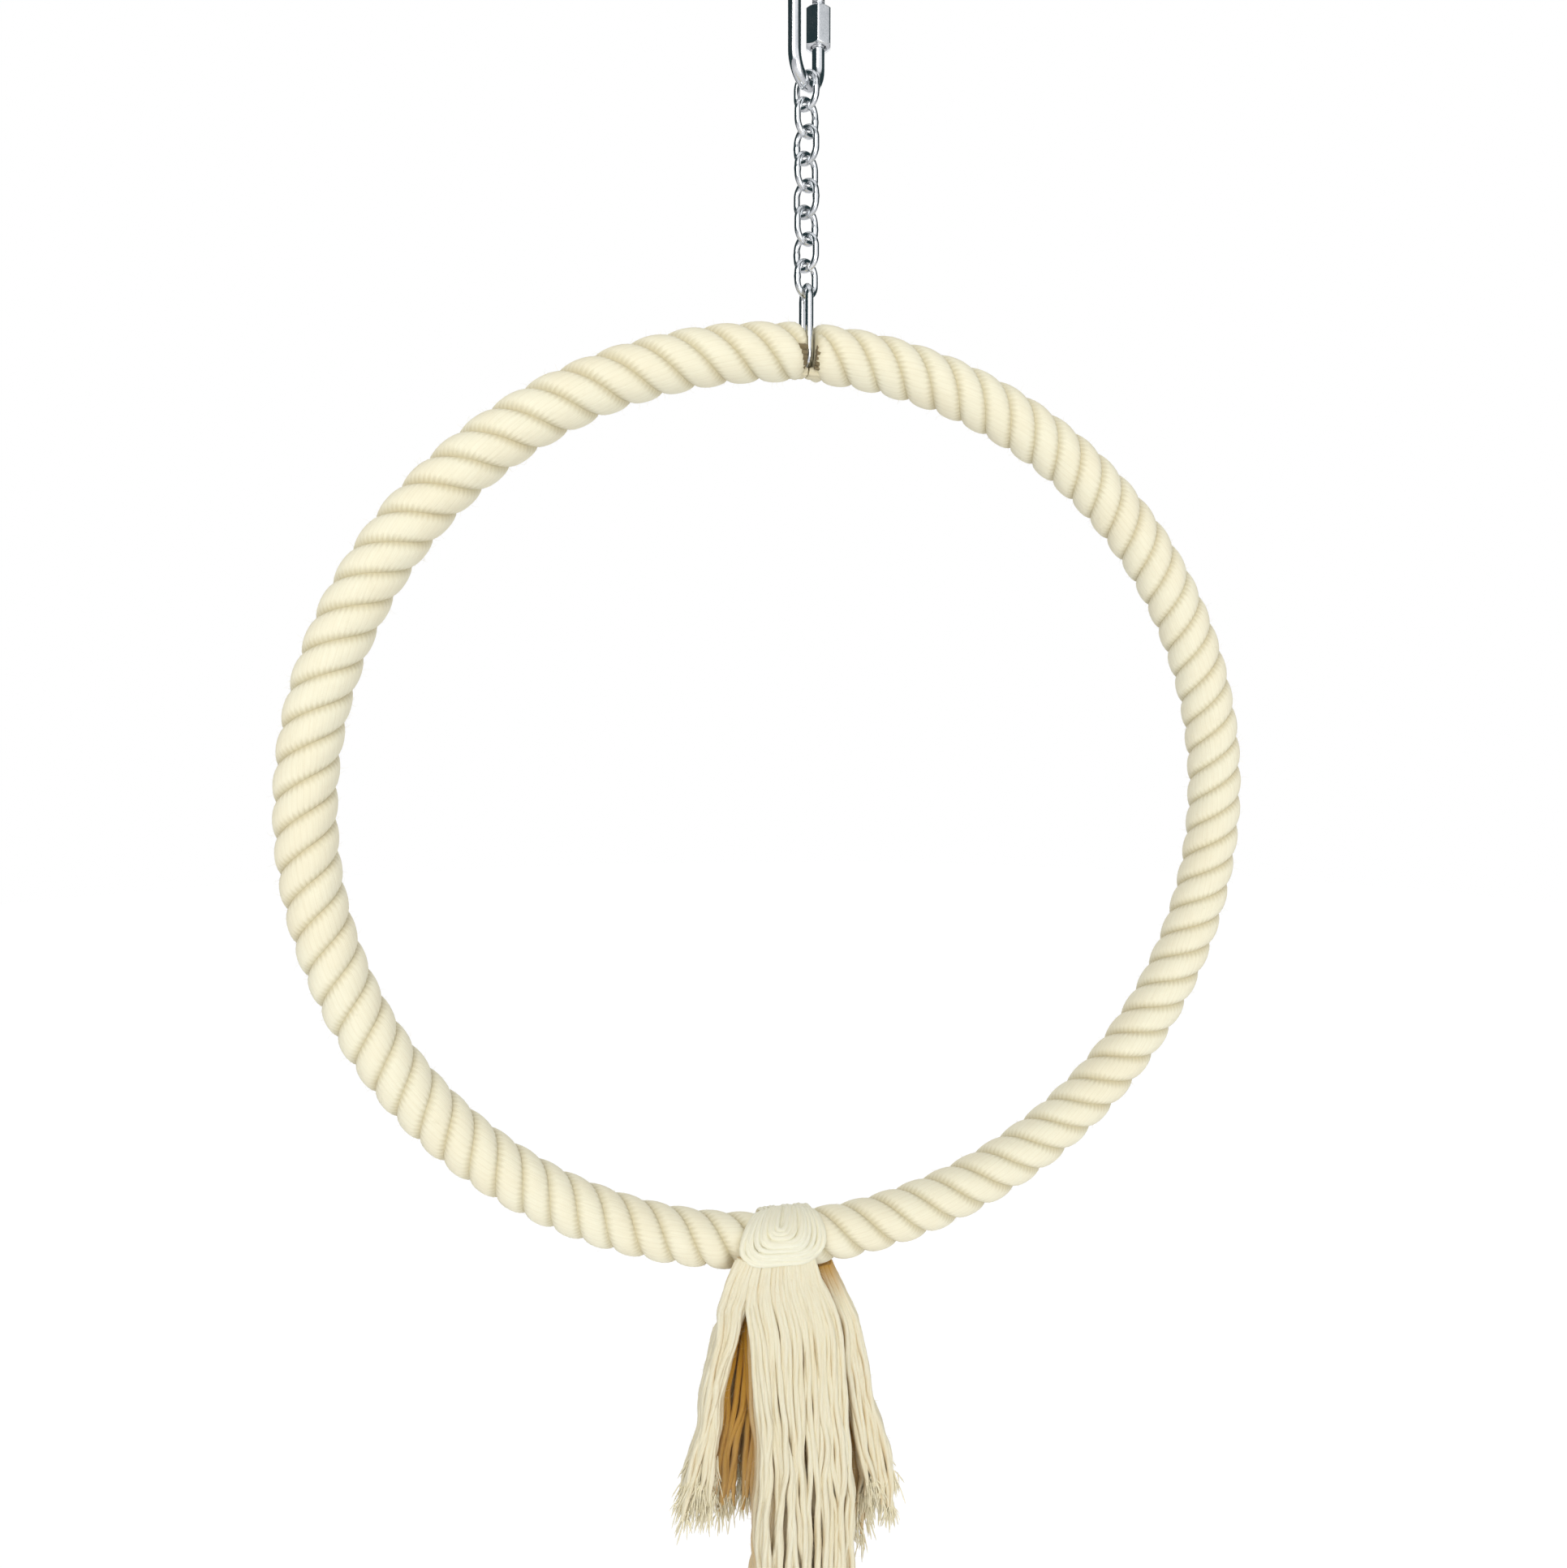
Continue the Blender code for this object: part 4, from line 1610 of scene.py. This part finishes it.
    def yarn_route(
        self, bunch: Bunch, share: float, deep: float, length: float, chance: np.random.Generator
    ) -> list[Point]:
        """Lay one hanging yarn.

        Args:
            bunch: The bunch that it belongs to.
            share: Its place across the bunch, from 0 to 1.
            deep: Its place from the skirt's middle plane to its face, from 0 to 1.
            length: The drop of its tip.
            chance: The source of its small differences.

        Returns:
            The points of its route.
        """
        neck, tuck = NECKS[bunch.row], bunch.tuck
        root_angle = self.root_angle * (1.0 - deep) ** self.root_power - neck.lift * deep
        root_angle += tuck * (TUCKED.lift - root_angle)
        root_reach = neck.radius + tuck * (TUCKED.radius - neck.radius)
        gathered = [close + tuck * looser for close, looser in zip(neck.gathered, TUCKED.gathered)]
        root_drop, root_depth = root_reach * math.sin(root_angle), root_reach * math.cos(root_angle)
        shift = self.bight_shift * deep * (1 - tuck) if bunch.row is Row.FRONT else 0.0
        sway, phase = chance.uniform(*self.sway) * MM, chance.uniform(0.0, math.tau)
        locks = max(1, round(bunch.across / self.lock_yarns))
        lock = (math.floor(share * locks) + 0.5) / locks
        drops, widths, depths = zip(*self.stations)
        route = []
        for drop in np.linspace(root_drop, length, self.yarn_points):
            width, depth = np.interp(drop, drops, widths), np.interp(drop, drops, depths)
            run = (drop - drops[0]) / (bunch.hem - drops[0])
            low, high = (np.interp(run, (0.0, 0.5, 1.0), edge) for edge in zip(*bunch.spans))
            inset = min(BUNCH_YARN.radius, 0.5 * (high - low) * width)
            left, right = width * (2 * low - 1) + inset, width * (2 * high - 1) - inset
            freedom = min(1.0, max(run, 0.0) * 2)
            drawn = share + self.lock_pull * freedom * (lock - share)
            x = (left + drawn * (right - left)) * np.interp(drop - root_drop, self.gather_drops, gathered)
            x += sway * math.sin(phase + drop / self.sway_length) * freedom
            ease = np.clip((drop - self.hang_start) / self.hang_run, 0.0, 1.0)
            ease = ease * ease * (3 - 2 * ease)
            edge = 1.0 - self.edge_thinning * abs(low + high - 1) ** 2
            hang = deep * (depth * edge - BUNCH_YARN.radius)
            y = bunch.row.value * ((1 - ease) * root_depth + ease * hang)
            route.append(self.at(x + shift * (1 - ease), y, drop))
        return route

    def tip_routes(self, bunch: Bunch, routes: list[Route]) -> list[Route]:
        """Fan out loose fibres at the tips of a bunch's yarns.

        Args:
            bunch: The bunch.
            routes: Its yarns' routes.

        Returns:
            The fibres' routes.
        """
        chance = np.random.default_rng(bunch.seed + self.tip_seed_shift)
        fibres = []
        for route in routes:
            tip, before = np.array(route.points[-1]), np.array(route.points[-1 - self.tip_way])
            way = (tip - before) / np.linalg.norm(tip - before)
            for _ in range(self.tip_fibres):
                back = way * chance.uniform(*self.tip_root) * MM
                root = tip - back + chance.normal(0.0, self.tip_scatter, 3)
                spread = way + chance.normal(0.0, self.tip_spread, 3)
                reach = chance.uniform(*self.tip_reach) * MM
                droop = np.array((0.0, 0.0, -self.tip_droop)) * reach
                shares = np.linspace(0.0, 1.0, self.tip_points)
                points = [tuple(root + spread * reach * share + droop * share * share) for share in shares]
                # The fibres take a little of their yarn's painted shade.
                fibres.append(Route(points, self.tip_shade_depth * route.inner * (1.0 - route.fade)))
        return fibres


@dataclass(frozen=True)
class Lamp:
    """A square soft lamp: its place from the ring's centre, its side, its power in watts and its colour."""

    name: str
    place: Point
    size: float
    power: float
    colour: Colour


@dataclass
class Studio:
    """The camera at the photograph's viewing angle, soft lamps, a white surround and a pale floor."""

    centre: Point = (0.0, 0.0, RingSize().centre)
    azimuth: float = math.radians(-14.68)
    elevation: float = math.radians(5.08)
    distance: float = 0.38
    focal: float = 1443.0
    aim_x: float = 992.4
    aim_y: float = 997.8
    sensor: float = 36.0
    clip_start: float = 0.01
    lamps: tuple[Lamp, ...] = (
        Lamp("key_lamp", (-0.45, -0.8, 0.4), 0.6, 3.9, (1.0, 0.99, 0.96)),
        Lamp("fill_lamp", (0.25, -0.9, -0.3), 0.8, 3.4, (0.97, 0.98, 1.0)),
        Lamp("back_lamp", (0.3, 0.9, 0.3), 0.9, 2.6, (1.0, 1.0, 1.0)),
    )
    white: tuple[float, ...] = (1.0, 1.0, 1.0, 1.0)
    sky: tuple[float, ...] = (0.95, 0.96, 1.0, 1.0)
    sky_strength: float = 0.6
    mirrored_dim: Colour = (0.02, 0.04, 0.045)
    mirrored_bright: Colour = (0.95, 0.97, 1.0)
    bright_ahead: tuple[float, float] = (-0.4, -0.75)
    bright_above: tuple[float, float] = (0.75, 0.9)
    floor_height: float = -0.75
    floor_radius: float = 3.0
    floor_sides: int = 64
    floor_tones: tuple[Colour, Colour] = ((0.9, 0.9, 0.9), (0.93, 0.93, 0.93))
    floor_grain: float = 40.0
    floor_roughness: float = 0.9
    floor_glow: float = 1.06
    floor_glow_share: float = 0.9

    def build(self) -> None:
        """Set the camera, the world, the lamps and the floor."""
        self.set_camera()
        self.set_world()
        for lamp in self.lamps:
            self.set_lamp(lamp)
        self.set_floor()
        bpy.context.scene.view_settings.view_transform = "Standard"

    def set_camera(self) -> None:
        """Place the camera so that the ring's centre falls where the photograph has it."""
        data = bpy.data.cameras.new("photo_camera")
        data.sensor_width = self.sensor
        data.lens = self.focal * self.sensor / max(PHOTO_WIDTH, PHOTO_HEIGHT)
        data.clip_start = self.clip_start
        level = math.cos(self.elevation)
        across, ahead = math.sin(self.azimuth) * level, math.cos(self.azimuth) * level
        back = Vector((across, -ahead, math.sin(self.elevation)))
        turn = (-back).to_track_quat("-Z", "Y")
        right, up = turn @ Vector((1.0, 0.0, 0.0)), turn @ Vector((0.0, 1.0, 0.0))
        per_pixel = self.distance / self.focal
        shift = right * (PHOTO_WIDTH / 2 - self.aim_x) + up * (self.aim_y - PHOTO_HEIGHT / 2)
        camera = bpy.data.objects.new("photo_camera", data)
        camera.location = Vector(self.centre) + back * self.distance + shift * per_pixel
        camera.rotation_euler = turn.to_euler()
        bpy.context.scene.collection.objects.link(camera)
        bpy.context.scene.camera = camera

    def set_world(self) -> None:
        """Light evenly from all round, show white, and give the metal a dim room in front to mirror."""
        world = bpy.data.worlds.new("white_surround")
        world.use_nodes = True
        bpy.context.scene.world = world
        graph, nodes = Graph(world.node_tree), world.node_tree.nodes
        light = nodes["Background"]
        graph.fill(light, {"Color": self.sky, "Strength": self.sky_strength})
        _, ahead, above = graph.get("ShaderNodeTexCoord", output="Generated").split()
        lit_side = ahead.ramp(*self.bright_ahead).math("MAXIMUM", above.ramp(*self.bright_above))
        mirrored = graph.blend(lit_side, self.mirrored_dim, self.mirrored_bright)
        seen = graph.get("ShaderNodeBackground", {"Color": self.white, "Strength": 1.0})
        gloss = graph.get("ShaderNodeBackground", {"Color": mirrored, "Strength": 1.0})
        shown = Field(graph, light.outputs[0])
        for ray, surround in (("Is Glossy Ray", gloss), ("Is Camera Ray", seen)):
            share = graph.get("ShaderNodeLightPath", output=ray)
            shown = graph.get("ShaderNodeMixShader", {0: share, 1: shown, 2: surround})
        graph.fill(nodes["World Output"], {"Surface": shown})

    def set_lamp(self, lamp: Lamp) -> None:
        """Add a lamp that faces the ring.

        Args:
            lamp: What it is like.
        """
        data = bpy.data.lights.new(lamp.name, "AREA")
        data.size, data.energy, data.color = lamp.size, lamp.power, lamp.colour
        light = bpy.data.objects.new(lamp.name, data)
        light.visible_camera = False
        light.location = Vector(self.centre) + Vector(lamp.place)
        light.rotation_euler = (-Vector(lamp.place)).to_track_quat("-Z", "Y").to_euler()
        bpy.context.scene.collection.objects.link(light)

    def set_floor(self) -> None:
        """Lay a pale floor well below the tassel, which keeps the swing's shadow."""
        bm = bmesh.new()
        bmesh.ops.create_circle(bm, cap_ends=True, segments=self.floor_sides, radius=self.floor_radius)
        bmesh.ops.translate(bm, verts=bm.verts, vec=(0.0, 0.0, self.floor_height))
        mesh = bpy.data.meshes.new("studio_floor")
        bm.to_mesh(mesh)
        bm.free()
        floor = add_piece("studio_floor", mesh)
        material, graph, shader = new_material("pale_floor")
        spot = graph.get("ShaderNodeTexCoord", output="Object")
        grain = graph.get("ShaderNodeTexNoise", {"Vector": spot, "Scale": self.floor_grain})
        tone = graph.blend(grain, *self.floor_tones)
        graph.fill(shader, {"Base Color": tone, "Roughness": self.floor_roughness})
        white = graph.get("ShaderNodeEmission", {"Color": self.white, "Strength": self.floor_glow})
        share = graph.get("ShaderNodeLightPath", output="Is Camera Ray") * self.floor_glow_share
        mixed = graph.get("ShaderNodeMixShader", {0: share, 1: Field(graph, shader.outputs[0]), 2: white})
        graph.fill(material.node_tree.nodes["Material Output"], {"Surface": mixed})
        mesh.materials.append(material)


PLATED = MetalFinish("bright_plating", (0.86, 0.87, 0.88), (0.62, 0.64, 0.66), (0.08, 0.24), 9 * MM, 0.5 * MM)
DRAWN = MetalFinish("drawn_steel", (0.55, 0.55, 0.56), (0.36, 0.36, 0.37), (0.3, 0.5), 12 * MM, 0.4 * MM)
# The groove and hollow colours paint shade into the rope's grooves, creases and drawn-in ends.
ROPE = CottonFinish(
    name="rope_cotton",
    crest=(0.91, 0.87, 0.67),
    tinted=(0.88, 0.80, 0.58),
    groove=(0.70, 0.60, 0.38),
    hollow_shade=(0.42, 0.34, 0.15),
    groove_shade_share=0.14,
    hollow_shade_share=0.45,
    fineness=11.0,
    run=170.0,
    bump=0.3,
)
# The hollow colour paints an orange-brown shade deep in the bunches, at tucked roots and on flanks that face
# the heart; the groove colour paints shade between the plies.
YARN = CottonFinish(
    name="tassel_cotton",
    crest=(0.865, 0.825, 0.645),
    tinted=(0.835, 0.765, 0.55),
    groove=(0.70, 0.57, 0.31),
    hollow_shade=(0.55, 0.275, 0.012),
    groove_shade_share=0.3,
    hollow_shade_share=1.0,
    fineness=7.0,
    run=260.0,
    bump=0.35,
)
# Painted shade: a dark copy of the tassel yarn for the rope's end yarns beside the hanger loop, where the gap
# between the ends lies in shade.
END_SHADE = replace(
    YARN,
    name="rope_end_shade",
    crest=(0.34, 0.27, 0.15),
    tinted=(0.26, 0.20, 0.10),
    groove=(0.14, 0.10, 0.05),
    hollow_shade=(0.08, 0.06, 0.03),
    groove_shade_share=0.5,
    hollow_shade_share=0.6,
)
# Painted light: a paler copy of the tassel yarn for the hitch, which faces up towards the lamps; its groove
# and hollow colours are lighter too.
HITCH = replace(
    YARN,
    name="hitch_yarn",
    crest=(0.925, 0.905, 0.74),
    tinted=(0.90, 0.86, 0.66),
    groove=(0.80, 0.73, 0.50),
    hollow_shade=(0.62, 0.52, 0.30),
)
# Painted light: a paler copy of the tassel yarn for the frayed tips, making up for the shade among their thin
# fibres.
FRAY = replace(
    YARN,
    name="frayed_tips",
    crest=(0.96, 0.90, 0.68),
    tinted=(0.95, 0.87, 0.62),
    groove=(0.90, 0.80, 0.54),
    hollow_shade=(0.72, 0.58, 0.30),
)


def main() -> None:
    """Build the swing from its quick link down, then the studio."""
    logging.basicConfig(level=logging.INFO, format="%(name)s: %(message)s")
    fibres, patches = make_fibre_group(), make_mottle_group()
    plated, drawn = PLATED.make(patches), DRAWN.make(patches)
    # heart is the dark end finish, which paints shade; hitch and fray are paler copies of the yarn, which
    # paint light.
    rope, heart, yarn, hitch, fray = (
        finish.make(fibres, patches) for finish in (ROPE, END_SHADE, YARN, HITCH, FRAY)
    )
    loops, yarns, fuzz = make_wire_loop_tree(), make_yarn_tree(), make_fuzz_tree()
    QuickLink(plated).build()
    Chain(plated, loops).build()
    RopeRing(rope, heart, drawn, loops, make_strand_tree(), yarns, fuzz).build()
    Tassel(yarn, hitch, fray, yarns, fuzz).build()
    Studio().build()


if __name__ == "__main__":
    main()
